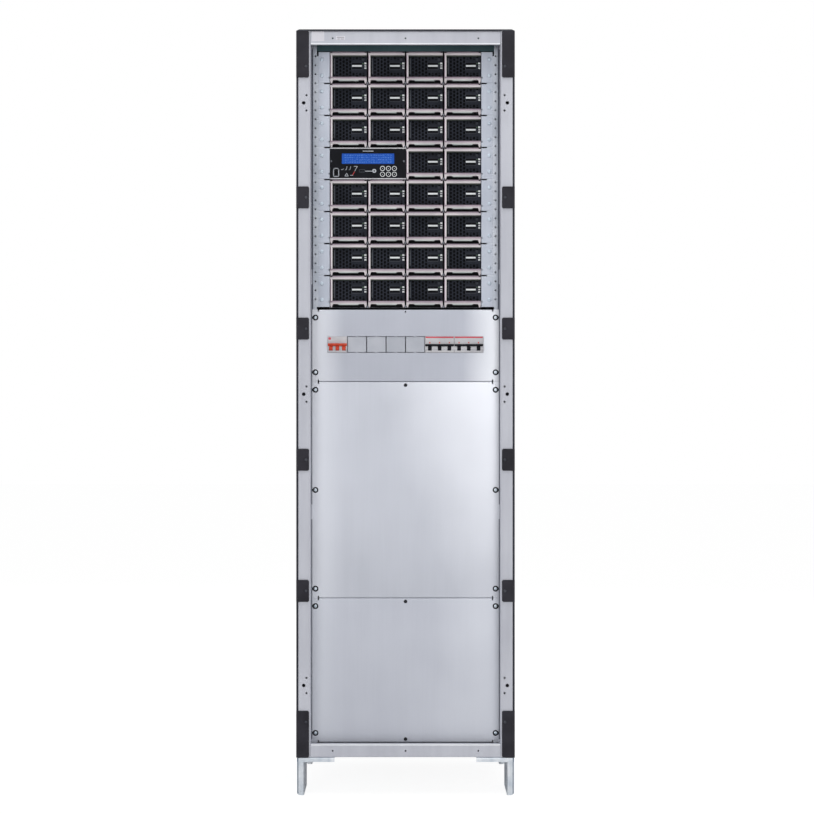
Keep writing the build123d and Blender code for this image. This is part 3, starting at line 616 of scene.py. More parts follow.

# Skins: side panels and a roof of thin sheet in dark powder paint, a rear panel
# in the frame's grey, and a galvanised base plate, all screwed to the frame. A
# folded teal sheet behind the gap above the first shelf stands in for the dim inside: painted
# shade.

dark_paint = powder_coat("dark_paint", tone(46, 47, 57), tone(34, 35, 43), 0.5, 0.2)
for name, slot, finish in (
    ("side_panels", "dark_paint", dark_paint),
    ("roof_panel", "dark_paint", dark_paint),
    ("rear_panel", "frame_paint", frame_paint),
    ("base_plate", "plated_steel", galvanised),
):
    dressed(name + "_skin", name, 0.4, finish)

# The teal sheet's colour is painted shade, standing in for the cabinet's dim inside.
inside_shade_paint = powder_coat("inside_shade_paint", tone(64, 88, 92), tone(50, 70, 76), 0.6, 0.2)
shade_sheet_low, shade_sheet_high, shade_sheet_lip_rear = 2054.6, 2097.0, -224.0
shade_sheet_front, shade_sheet_rear = -238.0, -236.5
low, high = (-rail_in, shade_sheet_front, shade_sheet_low), (rail_in, shade_sheet_rear, shade_sheet_high)
shade_sheet = Shape().block(low, high, 0.6, "x")
low, high = (-rail_in, shade_sheet_rear, 2094), (rail_in, shade_sheet_lip_rear, 2095.5)
shade_sheet.block(low, high, 0.6, "x")
piece("top_baffle", smoothed(shade_sheet.mesh(inside_shade_paint)))

# Clips: twelve moulded plastic caps, screwed through the front flange of the
# uprights, that hold the edges of the side panels.


def moulded(name, pale, dark, roughness=0.5, grain=900.0, gloss=0.4):
    """Moulded plastic: a fine spark-eroded grain, with scuffs that are a little paler."""
    plastic = Finish(name, {"Metallic": 0.0, "Specular IOR Level": gloss})
    drift = plastic.noise(16.0, 3.0)
    scuff = plastic.range(plastic.noise(70.0, 5.0, (1, 1, 0.3)), 0.6, 0.75)
    body = plastic.tint(plastic.range(drift, 0.35, 0.65), dark, pale)
    plastic.feed("Base Color", plastic.tint(scuff * 0.3, body, pale))
    plastic.feed("Roughness", roughness + drift * 0.12 - scuff * 0.1)
    plastic.relief(plastic.noise(grain, 2.0), 0.04, 0.7)
    return plastic


clip_plastic = moulded("clip_plastic", tone(48, 47, 54), tone(34, 33, 39), 0.55, gloss=0.18)
dressed("panel_clips", "side_panel_clips", 0.7, clip_plastic)

# Feet: four brackets bent from 3 mm steel sheet, a plate with turned-down rims
# on a C-shaped leg with rounded lower corners, in bluish bright zinc.

foot_sheet, foot_bend = 3.0, 4.5
foot_front, foot_back = -292.0, -145.0
foot_plate_in, foot_leg_x, foot_out = 195.0, 279.0, 298.0
foot_rim_low, foot_leg_inset, foot_round = 91.5, 0.5, 9
# A painted dark reflection along the outer bends of the feet.
foot_shade = (foot_out - 4.0, foot_out - 2.8, tone(80, 100, 122))
zinc_blue = plated_steel(
    "zinc_blue", tone(236, 239, 243), tone(200, 209, 219), 0.3, 0.6, 30.0, foot_shade
)

feet = Shape()
leg_front, leg_back = foot_front + foot_leg_inset, foot_back - foot_leg_inset
leg_out = foot_out - foot_leg_inset
path = [(leg_out, leg_front), (foot_leg_x, leg_front), (foot_leg_x, leg_back)]
path.append((leg_out, leg_back))
feet.prism(folded(path, foot_sheet, foot_bend), "z", 0, cabinet_bottom - foot_sheet)
rounding = Shape()
corner = [(foot_out + 2, -2, 0), (foot_out - 14, -2, 0), (foot_out - 14, 0, 0)]
corner += [(foot_out, 0, foot_round), (foot_out, 14, 0), (foot_out + 2, 14, 0)]
rounding.prism(rounded(corner, 6), "y", foot_front - 2, foot_back + 2)
legs = cut(feet.mesh(zinc_blue), rounding.mesh())
feet = Shape()
path = [(foot_front, foot_rim_low), (foot_front, cabinet_bottom)]
path += [(foot_back, cabinet_bottom), (foot_back, foot_rim_low)]
feet.prism(folded(path, foot_sheet, foot_bend), "x", foot_plate_in, foot_out)
feet.form.from_mesh(legs)
feet.mirrored("x").mirrored("y")
piece("foot_brackets", smoothed(feet.mesh(zinc_blue)), stands_for=["feet"])

# Shelves: eight folded trays that hold the rectifiers, with ears screwed to the
# rails, boards at the rear that the plugs meet, and two copper busbars.

row_height, row_count, shelf_bottom = 88.9, 8, 1342.8
panel_front = -241.5
notch_x, notch_up = 210.5, 16
ear_sheet = plated_steel("ear_sheet", tone(182, 187, 198), tone(162, 168, 180), 0.42, 0.55, 5.0)
notch = Shape().block((-3.2, -4, -2.2), (3.2, 6, 2.2)).mesh()
notches = rows_of.made(
    notch,
    ear_sheet,
    {
        "Start": (-notch_x, panel_front, shelf_bottom + notch_up),
        "Across": (2 * notch_x, 0.0, 0.0),
        "Up": (0.0, 0.0, row_height),
        "Columns": 2,
        "Rows": row_count,
    },
)
shelves = cut(eased("rectifier_shelves", 0.35, ear_sheet), notches)
piece("shelf_trays", smoothed(shelves), stands_for=["rectifier_shelves"])

board = moulded("board", tone(46, 92, 62), tone(28, 66, 44), 0.4, 300.0)
dressed("backplane_boards", "backplanes", 0.3, board)
copper = plated_steel("copper", tone(214, 140, 100), tone(176, 104, 74), 0.28, 1.0)
dressed("busbars", "dc_busbars", 0.8, copper)

# Rectifiers: thirty plug-in modules. Each is a sheet steel case with a plug at
# the rear and a moulded bezel in front: a lip, a strip on the left, and a strip
# below with two legs and a tongue, round a black perforated grille.

bezel_pale = moulded("bezel_pale", tone(217, 210, 213), tone(200, 193, 197), 0.38)
bezel_mauve_shade = moulded("bezel_mauve_shade", tone(168, 151, 163), tone(148, 132, 146), 0.42)
bezel_grey = moulded("bezel_grey", tone(196, 204, 201), tone(176, 184, 182), 0.4)
bezel_highlight = moulded("bezel_highlight", tone(240, 233, 235), tone(224, 217, 220), 0.35)
bezel_shade = moulded("bezel_shade", tone(84, 90, 82), tone(66, 72, 66), 0.5, gloss=0.2)
grille_black = moulded("grille_black", tone(44, 47, 56), tone(31, 34, 42), 0.5, 500.0, 0.1)
marks_and_shade_black = moulded("marks_and_shade_black", tone(14, 15, 18), tone(8, 8, 10), 0.7, gloss=0.1)
rib_grey = moulded("rib_grey", tone(116, 120, 128), tone(94, 98, 106), 0.4, gloss=0.3)
ring_grey = moulded("ring_grey", tone(58, 61, 70), tone(46, 49, 57), 0.4, gloss=0.2)
print_white = moulded("print_white", tone(232, 235, 236), tone(214, 218, 220), 0.5)
lamp_green = moulded("lamp_green", tone(92, 128, 84), tone(70, 106, 70), 0.3)
case_steel = plated_steel("case_steel", tone(196, 199, 203), tone(168, 173, 180), 0.4, 0.8)

half_width, bezel_depth, grille_front = 50.5, 14.0, 12.6
face_top, lip_edge, lip_bottom = 88.4, 84.6, 78.6
strip_top, strip_edge, strip_bottom = 18.8, 14.4, 10.3
band_lean, side_band, side_line = 2.0, -48.5, -44.6
tongue_low, tongue_half, tongue_tip, leg_low = 7.6, 30, 26, 1
mark_in, mark_out = 44.4, 50.0
in_pale, in_mauve_shade, in_grey, in_highlight, in_shade, in_marks_and_shade = range(6)
bezel = Shape()


def bezel_bar(low, high, slope, finish):
    """One band across the bezel, whose top leans back by a slope."""
    section = [(0, low, 0.8), (slope, high, 0.8), (bezel_depth, high, 0), (bezel_depth, low, 0)]
    bezel.prism(rounded(section), "x", -half_width, half_width, finish)


# The upper, leaning band of the lip and of the lower strip is painted darker mauve: a painted
# dark reflection.
for edge, band_bottom, band_top in (
    (lip_edge, lip_bottom, face_top),
    (strip_edge, strip_bottom, strip_top),
):
    bezel_bar(band_bottom, edge, 0, in_pale)
    bezel_bar(edge, band_top, band_lean, in_mauve_shade)
# The outer band of the left strip is painted mauve by the gap beside it: painted shade.
high = (side_band, bezel_depth, lip_bottom)
bezel.block((-half_width, 0.6, strip_top), high, 0.8, "z", in_mauve_shade)
# The inner band of the left strip is a brighter copy of the bezel plastic: a painted highlight.
high = (side_line, bezel_depth, lip_bottom)
bezel.block((side_band, 0, strip_top), high, 1, "z", in_highlight)
high = (half_width, bezel_depth, lip_bottom)
bezel.block((side_line, 4, lip_bottom - 2.2), high, 0.5, "x", in_shade)
tongue = [(-tongue_half, strip_bottom, 0), (-tongue_tip, tongue_low, 1)]
tongue += [(tongue_tip, tongue_low, 1), (tongue_half, strip_bottom, 0)]
bezel.prism(rounded(tongue), "y", 0.4, bezel_depth, in_grey)
for side in (-1, 1):
    leg = [(half_width, strip_bottom, 0), (half_width, 7, 2), (48.6, leg_low, 1)]
    leg += [(45.6, leg_low, 1), (45.0, 5.5, 3), (42.5, strip_bottom, 0)]
    bezel.prism(rounded([(side * x, z, r) for x, z, r in leg]), "y", 0.4, bezel_depth)
    low, high = sorted((side * mark_in, side * mark_out))
    bezel.block((low, 0.5, lip_edge + 0.3), (high, 3, face_top - 1.1), 0.8, finish=in_marks_and_shade)
# A black block low behind the legs and tongue is painted shadow under the module.
bezel.block((-mark_out, grille_front, 0.8), (mark_out, bezel_depth, 12), finish=in_marks_and_shade)
bezel = bezel.mesh(
    bezel_pale, bezel_mauve_shade, bezel_grey, bezel_highlight, bezel_shade, marks_and_shade_black
)

# The grille is one tile with a hole, repeated except behind the label plate.
hole_half, hole_up, tile_half, tile_up = 3.2, 4.4, 4.6, 5.0
corners = [(-1, -1), (0, -1), (1, -1), (1, 0), (1, 1), (0, 1), (-1, 1), (-1, 0)]
outline = [(across * tile_half, up * tile_up) for across, up in corners]
turns = [radians(turn) for turn in range(-135, 225, 45)]
hole = [(hole_half * cos(turn), hole_up * sin(turn)) for turn in turns]
rings = [[(x, 0, z) for x, z in outline], [(x, 0, z) for x, z in hole]]
rings.append([(x, 1.4, z) for x, z in hole])
tile = Shape().skin(rings, "open", 0)
grille = rows_of.made(
    tile.mesh(),
    grille_black,
    {
        "Start": (-9 * tile_half, grille_front, 18.0),
        "Across": (2 * tile_half, 0.0, 0.0),
        "Up": (0.0, 0.0, 2 * tile_up),
        "Stagger": (0.0, 0.0, -tile_up),
        "Columns": 10,
        "Rows": 7,
        "Gap low": (8.0, 0.0, 36.0),
        "Gap high": (52.0, 0.0, 66.0),
    },
)

# The label plate with its bars, three white marks, a lamp, a knob and the rib.
label_x, label_z, solid_in, plate_in = 23.2, 50.6, 46, 9.2
on_rib, on_dark, on_print, on_lamp, on_ring = range(1, 6)
label_bars = ((57.0, 2.3, on_dark), (50.8, 2.3, on_print), (44.8, 2.1, on_dark))
white_marks = ((57.8, 2.5), (50.8, 1.3), (44.6, 1.9))
lamp_spot, knob_spot = (40.8, 12.8, 57.4), (40.5, 12.8, 68.8)
front = Shape()
front.block((solid_in, grille_front, 18), (half_width, bezel_depth, 78))
front.block((plate_in, grille_front + 0.3, 32), (half_width, bezel_depth, 68.6))
low = (label_x - 15.75, 11.6, label_z - 11)
front.block(low, (label_x + 15.75, 13.4, label_z + 11), 3, finish=on_ring)
low = (label_x - 14.6, 11.3, label_z - 9.8)
front.block(low, (label_x + 14.6, 12, label_z + 9.8), 2)
for middle, half, finish in label_bars:
    low = (label_x - 13.6, 11.1, middle - half)
    front.block(low, (label_x + 13.6, 11.6, middle + half), 0.6, finish=finish)
for middle, half in white_marks:
    high = (49.8, 13.2, middle + half)
    front.block((44.0, 11.9, middle - half), high, 0.8, finish=on_print)
front.turned([(1.5, 0), (1.5, -0.5), (0.8, -0.9)], lamp_spot, "y", 10, on_lamp)
front.block((-40.7, 11.8, 27), (-39.3, 13, 72), 0.5, finish=on_rib)
knob = [(3.9, 0), (3.9, -0.8), (2.9, -1.2), (2.9, -0.4)]
front.turned(knob, knob_spot, "y", 14, on_ring)
front = front.mesh(grille_black, rib_grey, marks_and_shade_black, print_white, lamp_green, ring_grey)

# The case is a box with a shallow recess behind the bezel and vents in its sides.
case_bottom, case_top, case_rear, case_sheet = 2.3, 84.0, 300.0, 1.2
case = Shape()
rings = []
for depth, inset in (
    (case_rear, 0),
    (bezel_depth, 0),
    (bezel_depth, case_sheet),
    (bezel_depth + 6, case_sheet),
):
    low, high, side = case_bottom + inset, case_top - inset, half_width - inset
    corners = [(-side, low, 1), (side, low, 1), (side, high, 1), (-side, high, 1)]
    rings.append([(x, depth, z) for x, z in rounded(corners)])
case.skin(rings, "capped", 0)
vents = Shape()
for side in (-1, 1):
    low, high = sorted((side * (half_width - 0.8), side * (half_width + 1)))
    vents.block((low, -14, -1.6), (high, 14, 1.6), 1.5, "x")
vents = rows_of.made(
    vents.mesh(),
    case_steel,
    {
        "Start": (0.0, 70.0, 20.0),
        "Across": (0.0, 40.0, 0.0),
        "Up": (0.0, 0.0, 8.0),
        "Columns": 5,
        "Rows": 6,
    },
)
case = cut(case.mesh(case_steel), vents)

# A black sheet closes the view through the grille, as painted shade of the inside. The plug has
# copper pins.
plug_rear, plug_low, plug_high, plug_half = 303.7, 34, 46, 30
pin_left, pin_pitch, pin_width, pin_count = -26.5, 5.5, 2.0, 10
fittings = Shape()
fittings.block((-48, 18.6, 6), (48, 19.6, 82))
low, high = (-plug_half, case_rear - 1, plug_low), (plug_half, plug_rear, plug_high)
fittings.block(low, high, 1.5)
for i in range(pin_count):
    left = pin_left + pin_pitch * i
    high = (left + pin_width, plug_rear, plug_high + 0.2)
    fittings.block((left, case_rear + 1, plug_low + 2), high, finish=1)
fittings = fittings.mesh(marks_and_shade_black, copper)
module = smoothed(joined(bezel, grille, front, case, fittings))

bay_pitch = 105.6
for body in frame["bodies"]:
    if body.startswith("rectifier_"):
        row, column = int(body[11]) - 1, int(body[13]) - 1
        bay_x = (column - 1.5) * bay_pitch
        bay_z = shelf_bottom + (row_count - 1 - row) * row_height
        spot = Vector((bay_x, panel_front, bay_z)) * MM
        mesh = module.copy()
        mesh.transform(Matrix.Translation(spot))
        piece(body + "_module", mesh, body, stands_for=[body])

# Controller: a black moulded front with pale edges, a blue character display,
# a service port and six keys, on a flat steel housing two bays wide.

face_black = moulded("face_black", tone(22, 23, 29), tone(13, 14, 18), 0.4, gloss=0.08)
controller_left, controller_right = -208.9, 1.1
controller_low, controller_high = 1698.9, 1786.8
housing_front, housing_rear, housing_inset = -233.5, -33.5, 4
housing_low, housing_high = 1706.4, 1778.4
window_x, window_z, window_half, window_up = -104.1, 1756.4, 73, 14.7
port_x, port_z, port_half, port_up = -192.6, 1716.4, 4.6, 6.4

control = Shape()
low = (controller_left, panel_front, controller_low)
control.block(low, (controller_right, housing_front, controller_high), 1.0)
low = (controller_left + housing_inset, housing_front - 0.1, housing_low)
high = (controller_right - housing_inset, housing_rear, housing_high)
control.block(low, high, 1.0, finish=1)
openings = Shape()
low = (window_x - window_half, panel_front - 5, window_z - window_up)
high = (window_x + window_half, panel_front + 4, window_z + window_up)
openings.block(low, high, 1.5)
low = (port_x - port_half, panel_front - 5, port_z - port_up)
openings.block(low, (port_x + port_half, panel_front + 6, port_z + port_up), 0.6)
control = cut(control.mesh(face_black, case_steel), openings.mesh())
rims = Shape()
rim_pale = moulded("rim_pale", tone(208, 207, 211), tone(190, 189, 194), 0.4)
rim_front, rim_rear, rim_height = -243.5, -240.0, 3.2
for low in (controller_low, controller_high - rim_height):
    high = low + rim_height
    section = [(rim_front, low, 1.2), (rim_front, high, 1.2), (rim_rear, high, 0)]
    section.append((rim_rear, low, 0))
    rims.prism(rounded(section), "x", controller_left, controller_right)

# Marks printed on the face: plain strokes in grey and red, and one grey ring.
print_dim = moulded("print_dim", tone(78, 82, 90), tone(62, 66, 74), 0.5, gloss=0.2)
print_grey = moulded("print_grey", tone(196, 200, 206), tone(172, 176, 184), 0.5)
print_red = moulded("print_red", tone(205, 70, 70), tone(180, 50, 52), 0.5)
printing = Shape()
print_front = panel_front - 0.12


def stroke(path, width, finish):
    """A printed line along a path of (x, z) points."""
    for start, end in zip(path, path[1:]):
        run = (Vector(end) - Vector(start)).normalized() * (width / 2)
        side = Vector((run.y, -run.x))
        corners = [Vector(start) - run - side, Vector(end) + run - side]
        corners += [Vector(end) + run + side, Vector(start) - run + side]
        printing.prism(corners, "y", print_front, panel_front + 0.2, finish)


house = [(-199.8, 1707), (-185.4, 1707), (-185.4, 1726), (-189, 1729.4), (-196.2, 1729.4)]
stroke(house + [(-199.8, 1726), (-199.8, 1707)], 2.2, 0)
stroke([(-178.6, 1726), (-173.6, 1726), (-173, 1728.5)], 1.2, 0)
for left in (-166.6, -156.6):
    stroke([(left, 1725.4), (left + 2, 1725.4), (left + 4.4, 1734.4)], 1.3, 0)
stroke([(-142.5, 1735), (-133.5, 1735), (-137.6, 1728), (-141, 1721)], 1.5, 0)
stroke([(-141, 1721), (-146.5, 1711.5)], 1.7, 2)
stroke([(-146.5, 1710.3), (-153, 1710.3)], 1.5, 0)
stroke([(-168.4, 1708), (-158.8, 1708), (-163.6, 1716), (-168.4, 1708)], 1.4, 0)
stroke([(-128.4, 1719), (-113, 1719), (-113, 1726), (-128.4, 1726), (-128.4, 1719)], 1.0, 1)
stroke([(-110.9, 1721.6), (-92, 1721.6)], 1.6, 0)
stroke([(-118, 1777.2), (-90, 1777.2)], 2.0, 0)
profile = [(5.6, 0.2), (5.6, -0.12), (2.2, -0.12), (2.2, 0.2)]
printing.turned(profile, (-86.8, panel_front, 1722.4), "y", 20, 0, "joined")

# Six keys, each a black disc with a white pip in a printed ring.
ring = Shape()
profile = [(6.9, 0.3), (6.9, -0.15), (5.3, -0.15), (5.3, 0.3)]
ring.turned(profile, (0, 0, 0), "y", 24, 0, "joined")
ring.turned([(1.0, 0.3), (1.0, -1.05), (0.5, -1.1)], (0, 0, 0), "y", 10)
key = Shape().turned([(5.0, 0.3), (5.0, -0.6), (4.2, -1.0)], (0, 0, 0), "y", 24)
key_x, key_z, key_pitch_x, key_pitch_z = -63.8, 1713.0, 16.4, 16.1
keypad = {
    "Start": (key_x, panel_front, key_z),
    "Across": (key_pitch_x, 0.0, 0.0),
    "Up": (0.0, 0.0, key_pitch_z),
    "Columns": 3,
    "Rows": 2,
}
bolt_x, bolt_z = (-206, -4.6), 1749.3
bolts = Shape()
profile = [(2.6, 0.5), (2.6, -0.8), (1.9, -1.3), (1.2, -0.5)]
for across in bolt_x:
    bolts.turned(profile, (across, panel_front, bolt_z), "y", 14)
mesh = joined(
    control,
    rims.mesh(rim_pale),
    printing.mesh(print_grey, print_dim, print_red),
    rows_of.made(ring.mesh(), print_white, keypad),
    rows_of.made(key.mesh(), face_black, keypad),
    bolts.mesh(rib_grey),
)
piece("controller_front", smoothed(mesh), stands_for=["controller_housing"])


def lit_glass(name, pale, dark, dots):
    """Display glass with its own light. The dots of a character are a shade paler."""
    dot_size = 1.2 * MM
    glass = Finish(name, {"Specular IOR Level": 0.3, "Emission Strength": 0.12})
    drift = glass.noise(24.0, 2.0)
    share = drift
    if dots:
        inputs = {0: glass.place, 1: (dot_size, dot_size, dot_size)}
        step = glass.node("ShaderNodeVectorMath", {"operation": "SNAP"}, inputs)
        chance = glass.node("ShaderNodeTexWhiteNoise", {}, {"Vector": step}, "Value")
        share = (chance > 0.55) * 0.8
    shown = glass.tint(share, dark, pale)
    glass.feed("Base Color", shown)
    glass.feed("Emission Color", shown)
    glass.feed("Roughness", 0.12 + drift * 0.1)
    return glass


lcd = lit_glass("display_blue", tone(12, 84, 182), tone(6, 66, 162), False)
lcd_cell = lit_glass("display_cell", tone(74, 126, 204), tone(12, 76, 172), True)
screen = Shape()
screen_half, screen_up, screen_front = window_half - 0.3, window_up - 0.3, panel_front + 1
low = (window_x - screen_half, screen_front, window_z - screen_up)
screen.block(low, (window_x + screen_half, panel_front + 4, window_z + screen_up), 1.2)
cell = Shape().block((-2.6, -0.06, -2.0), (2.6, 0.1, 2.0))
cell_pitch_x, cell_pitch_z = 6.6, 6.4
cells = rows_of.made(
    cell.mesh(),
    lcd_cell,
    {
        "Start": (window_x - 9.5 * cell_pitch_x, screen_front, window_z - 1.5 * cell_pitch_z),
        "Across": (cell_pitch_x, 0.0, 0.0),
        "Up": (0.0, 0.0, cell_pitch_z),
        "Columns": 20,
        "Rows": 4,
    },
)
mesh = smoothed(joined(screen.mesh(lcd), cells))
piece("display", mesh, stands_for=["controller_display"])

# Panels: three covers of 1.5 mm steel sheet, with folded top and bottom edges and
# a slot at each screw. Their satin skin has faint upright rolling marks.


def satin_sheet(name, bright, pale, dark, sheen_lean):
    """Satin sheet steel: fine streaks and slow clouds, with a painted sheen that pales it towards
    one side and towards its left edge.

    The sheen_lean gives the painted sheen's start and run across, its level and its rise.
    """
    skin = Finish(name, {"Metallic": 0.7, "Specular IOR Level": 0.5})
    fine = skin.noise(240.0, 3.0, (1, 1, 0.02))
    wide = skin.noise(26.0, 3.0, (1, 1, 0.12))
    cloud = skin.noise(2.4, 3.0)
    share = skin.range(fine * 0.15 + wide * 0.15 + cloud * 0.7, 0.34, 0.66)
    plain = skin.tint(share, dark, pale)
    side = skin.node("ShaderNodeSeparateXYZ", {}, {0: skin.place}, "X")
    height = skin.node("ShaderNodeSeparateXYZ", {}, {0: skin.place}, "Z")
    start, run, level, rise = sheen_lean
    reach = (side - start) / run + (height - level) * rise + (cloud - 0.5) * 0.5
    left_sheen = skin.range(side, -0.26, -0.17, 0.5, 0.0)
    reach = reach.maths("MAXIMUM", reach, left_sheen)
    skin.feed("Base Color", skin.tint(skin.range(reach, 0.0, 1.0), plain, bright))
    skin.feed("Roughness", 0.4 + fine * 0.12)
    skin.relief(fine + skin.noise(700.0, 1.0) * 0.5, 0.015, 0.5)
    return skin


# The three covers are one kind of sheet; their different tones are painted light, the middle
# cover painted brightest as if it caught the light.
panel_finishes = {
    "lower_panel": satin_sheet(
        "lower_steel",
        tone(218, 221, 228),
        tone(196, 199, 208),
        tone(182, 185, 195),
        (0.08, 0.4, 0.3, 0.4),
    ),
    "middle_panel": satin_sheet(
        "middle_steel",
        tone(229, 231, 237),
        tone(193, 196, 205),
        tone(179, 182, 191),
        (-0.04, 0.4, 0.95, 1.0),
    ),
    "breaker_panel": satin_sheet(
        "breaker_steel",
        tone(238, 240, 244),
        tone(174, 177, 187),
        tone(160, 163, 173),
        (0.16, 0.14, 1.2, 0.0),
    ),
}
panel_edge, fold_edge, fold_depth, panel_sheet, panel_bend = 259.0, 240.0, 12, 1.5, 2.4
relief_width, relief_height = 3.6, 6
side_screw_x, slot_round, slot_turns = 250, 3.5, (0.8, 1.57, 2.34)
centre_hole = 2.2
device_x, device_low, device_high = 216.3, 1217.7, 1263.3
panels = (
    ("lower_panel", 136.3, 536.3, (162.3, 514.3), (145.3, 527.3)),
    ("middle_panel", 536.8, 1136.8, (562.8, 836.8, 1114.8), (1127.8,)),
    ("breaker_panel", 1137.3, 1337.3, (1163.3, 1315.3), (1331,)),
)
for name, low, high, screws, centres in panels:
    cover = Shape()
    rear = rail_front + fold_depth
    path = [(rear, low), (panel_front, low), (panel_front, high), (rear, high)]
    cover.prism(folded(path, panel_sheet, panel_bend), "x", -fold_edge, fold_edge)
    for side in (-1, 1):
        near, far = side * fold_edge, side * panel_edge
        notch_edge = side * (fold_edge + relief_width)
        notch_low, notch_high = low + relief_height, high - relief_height
        edge = [(near, notch_low), (notch_edge, notch_low), (notch_edge, low), (far, low)]
        for z in screws:
            start = side * side_screw_x
            edge += [(far, z - slot_round), (start, z - slot_round)]
            for turn in slot_turns:
                across = start - side * slot_round * sin(turn)
                edge.append((across, z - slot_round * cos(turn)))
            edge += [(start, z + slot_round), (far, z + slot_round)]
        edge += [(far, high), (notch_edge, high), (notch_edge, notch_high), (near, notch_high)]
        cover.prism(edge, "y", panel_front, rail_front)
    holes = Shape()
    for z in centres:
        holes.turned([(centre_hole, -4), (centre_hole, 4)], (0, panel_front, z), "y", 12)
    if name == "breaker_panel":
        corner = (-device_x, panel_front - 4, device_low)
        holes.block(corner, (device_x, panel_front + 4, device_high), 0.6)
    mesh = smoothed(cut(cover.mesh(panel_finishes[name]), holes.mesh()))
    piece(name + "_sheet", mesh, stands_for=[name])

# Screws: plated steel pan heads with a cross recess. Those of the panels sit in
# black cup washers, and the ones in the middle are black. Each is left at the
# turn at which it came tight.

set_screws = Pattern(
    "set_screws",
    {
        "Places": "Geometry",
        "Screw": "Object",
        "Turn": "Float",
        "Seed": "Int",
        "Finish": "Material",
    },
)
inputs = {3: set_screws.given("Turn"), 8: set_screws.given("Seed")}
turn = set_screws.node("FunctionNodeRandomValue", {}, inputs, 1)
turn = set_screws.node("ShaderNodeCombineXYZ", {}, {"Y": turn})
inputs = {0: set_screws.given("Screw")}
head = set_screws.node("GeometryNodeObjectInfo", {}, inputs, "Geometry")
inputs = {"Points": set_screws.given("Places"), "Instance": head, "Rotation": turn}
set_screws.close(set_screws.node("GeometryNodeInstanceOnPoints", {}, inputs))

screw_zinc = plated_steel("screw_zinc", tone(222, 230, 236), tone(190, 202, 212), 0.3, 0.8, 90.0)
screw_black = moulded("screw_black", tone(40, 40, 46), tone(26, 26, 31), 0.4, gloss=0.2)


def pan_head(radius, height, cross):
    """A pan head with a cross recess."""
    profile = [(radius, 0), (radius, -height * 0.35), (radius * 0.84, -height * 0.8)]
    profile += [(radius * 0.5, -height)]
    head = Shape().turned(profile, (0, 0, 0), "y", 16)
    slit, outer, floor = 0.55, -height - 1, -height + 1.1
    along = Shape().block((-cross, outer, -slit), (cross, floor, slit))
    across = Shape().block((-slit, outer, -cross), (slit, floor, cross))
    return cut(cut(head.mesh(), along.mesh()), across.mesh())


def screwed(places, unit, finish, seed):
    """Copies of one part at places, each at its own turn."""
    points = bpy.data.meshes.new("places")
    points.from_pydata([Vector(spot) * MM for spot in places], [], [])
    sample = bpy.data.objects.new("sample", unit)
    bpy.context.scene.collection.objects.link(sample)
    values = {"Screw": sample, "Turn": 2 * pi, "Seed": seed}
    result = set_screws.made(points, finish, values)
    bpy.data.objects.remove(sample)
    return result


seat = panel_front - 0.5
levels = [z for panel in panels for z in panel[3]]
side_places = [(side * side_screw_x, seat, z) for side in (-1, 1) for z in levels]
centre_places = [(0, panel_front, z) for panel in panels[:2] for z in panel[4]]
cup = Shape()
profile = [(8.3, 0.5), (8.3, 0.1), (7.2, -0.7), (5.2, -0.5), (4.2, 0.1)]
cup.turned(profile, (0, 0, 0), "y", 20)
shaft = Shape().turned([(2.2, 6), (2.2, 0)], (0, 0, 0), "y", 10)
mesh = joined(
    screwed(side_places, pan_head(4.5, 1.7, 2.8), screw_zinc, 3),
    screwed(side_places, cup.mesh(), screw_black, 4),
    screwed(side_places, shaft.mesh(), screw_zinc, 5),
    screwed(centre_places, pan_head(5.0, 2.2, 2.6), screw_black, 6),
)
piece("panel_pan_heads", smoothed(mesh), stands_for=["panel_screws"])

ear_screw_x, ear_screw_up = 232.5, (22.0, 66.9)
ear_places = []
for row in range(row_count):
    for up in ear_screw_up:
        for side in (-1, 1):
            z = shelf_bottom + row * row_height + up
            ear_places.append((side * ear_screw_x, panel_front, z))
screw_pale = plated_steel("screw_pale", tone(206, 216, 226), tone(182, 193, 205), 0.45, 0.5, 90.0)
mesh = screwed(ear_places, pan_head(5.5, 2.2, 2.9), screw_pale, 9)
piece("shelf_pan_heads", smoothed(mesh), stands_for=["shelf_screws"])

clip_x, clip_face = 273, -297.6
clip_levels = (202, 562.25, 922.25, 1282.25, 1642.25, 2002.5)
clip_places = [(side * clip_x, clip_face, z) for side in (-1, 1) for z in clip_levels]
screw_grey = moulded("screw_grey", tone(78, 80, 88), tone(60, 62, 70), 0.4, gloss=0.3)
mesh = screwed(clip_places, pan_head(4.4, 1.8, 2.2), screw_grey, 12)
piece("clip_pan_heads", smoothed(mesh), stands_for=["clip_screws"])

# Breaker row: a main switch and two breakers on a top-hat rail, each three poles
# wide in a moulded housing, with its toggles tied by a bar. Four moulded covers
# snap into the rest of the window.

housing_plastic = moulded("housing_plastic", tone(208, 207, 211), tone(191, 190, 195), 0.45)
seam_grey = moulded("seam_grey", tone(150, 148, 150), tone(130, 128, 132), 0.6)
stripe_red = moulded("stripe_red", tone(214, 84, 96), tone(196, 66, 80), 0.4)
red_plastic = moulded("red_plastic", tone(228, 84, 50), tone(206, 64, 36), 0.4)
black_plastic = moulded("black_plastic", tone(26, 27, 34), tone(15, 16, 21), 0.4, gloss=0.12)
hub_y, hub_z, pole_gap = -240.5, 1231.0, 0.15
nose_front, nose_low, nose_high = -243.5, 1218.0, 1263.0
block_front, block_rear, block_low, block_high = -233.5, -189.5, 1198.0, 1283.0
hook_front, hook_low, hook_high = -194.5, 1222.7, 1258.3
hollow_round, hollow_half, cheek_round = 8.0, 5.3, 7.4
mark_front, mark_rear = nose_front - 0.12, nose_front + 0.5


def pole_middles(left, pole):
    """The middles of a device's three poles."""
    return [left + (i + 0.5) * pole for i in range(3)]


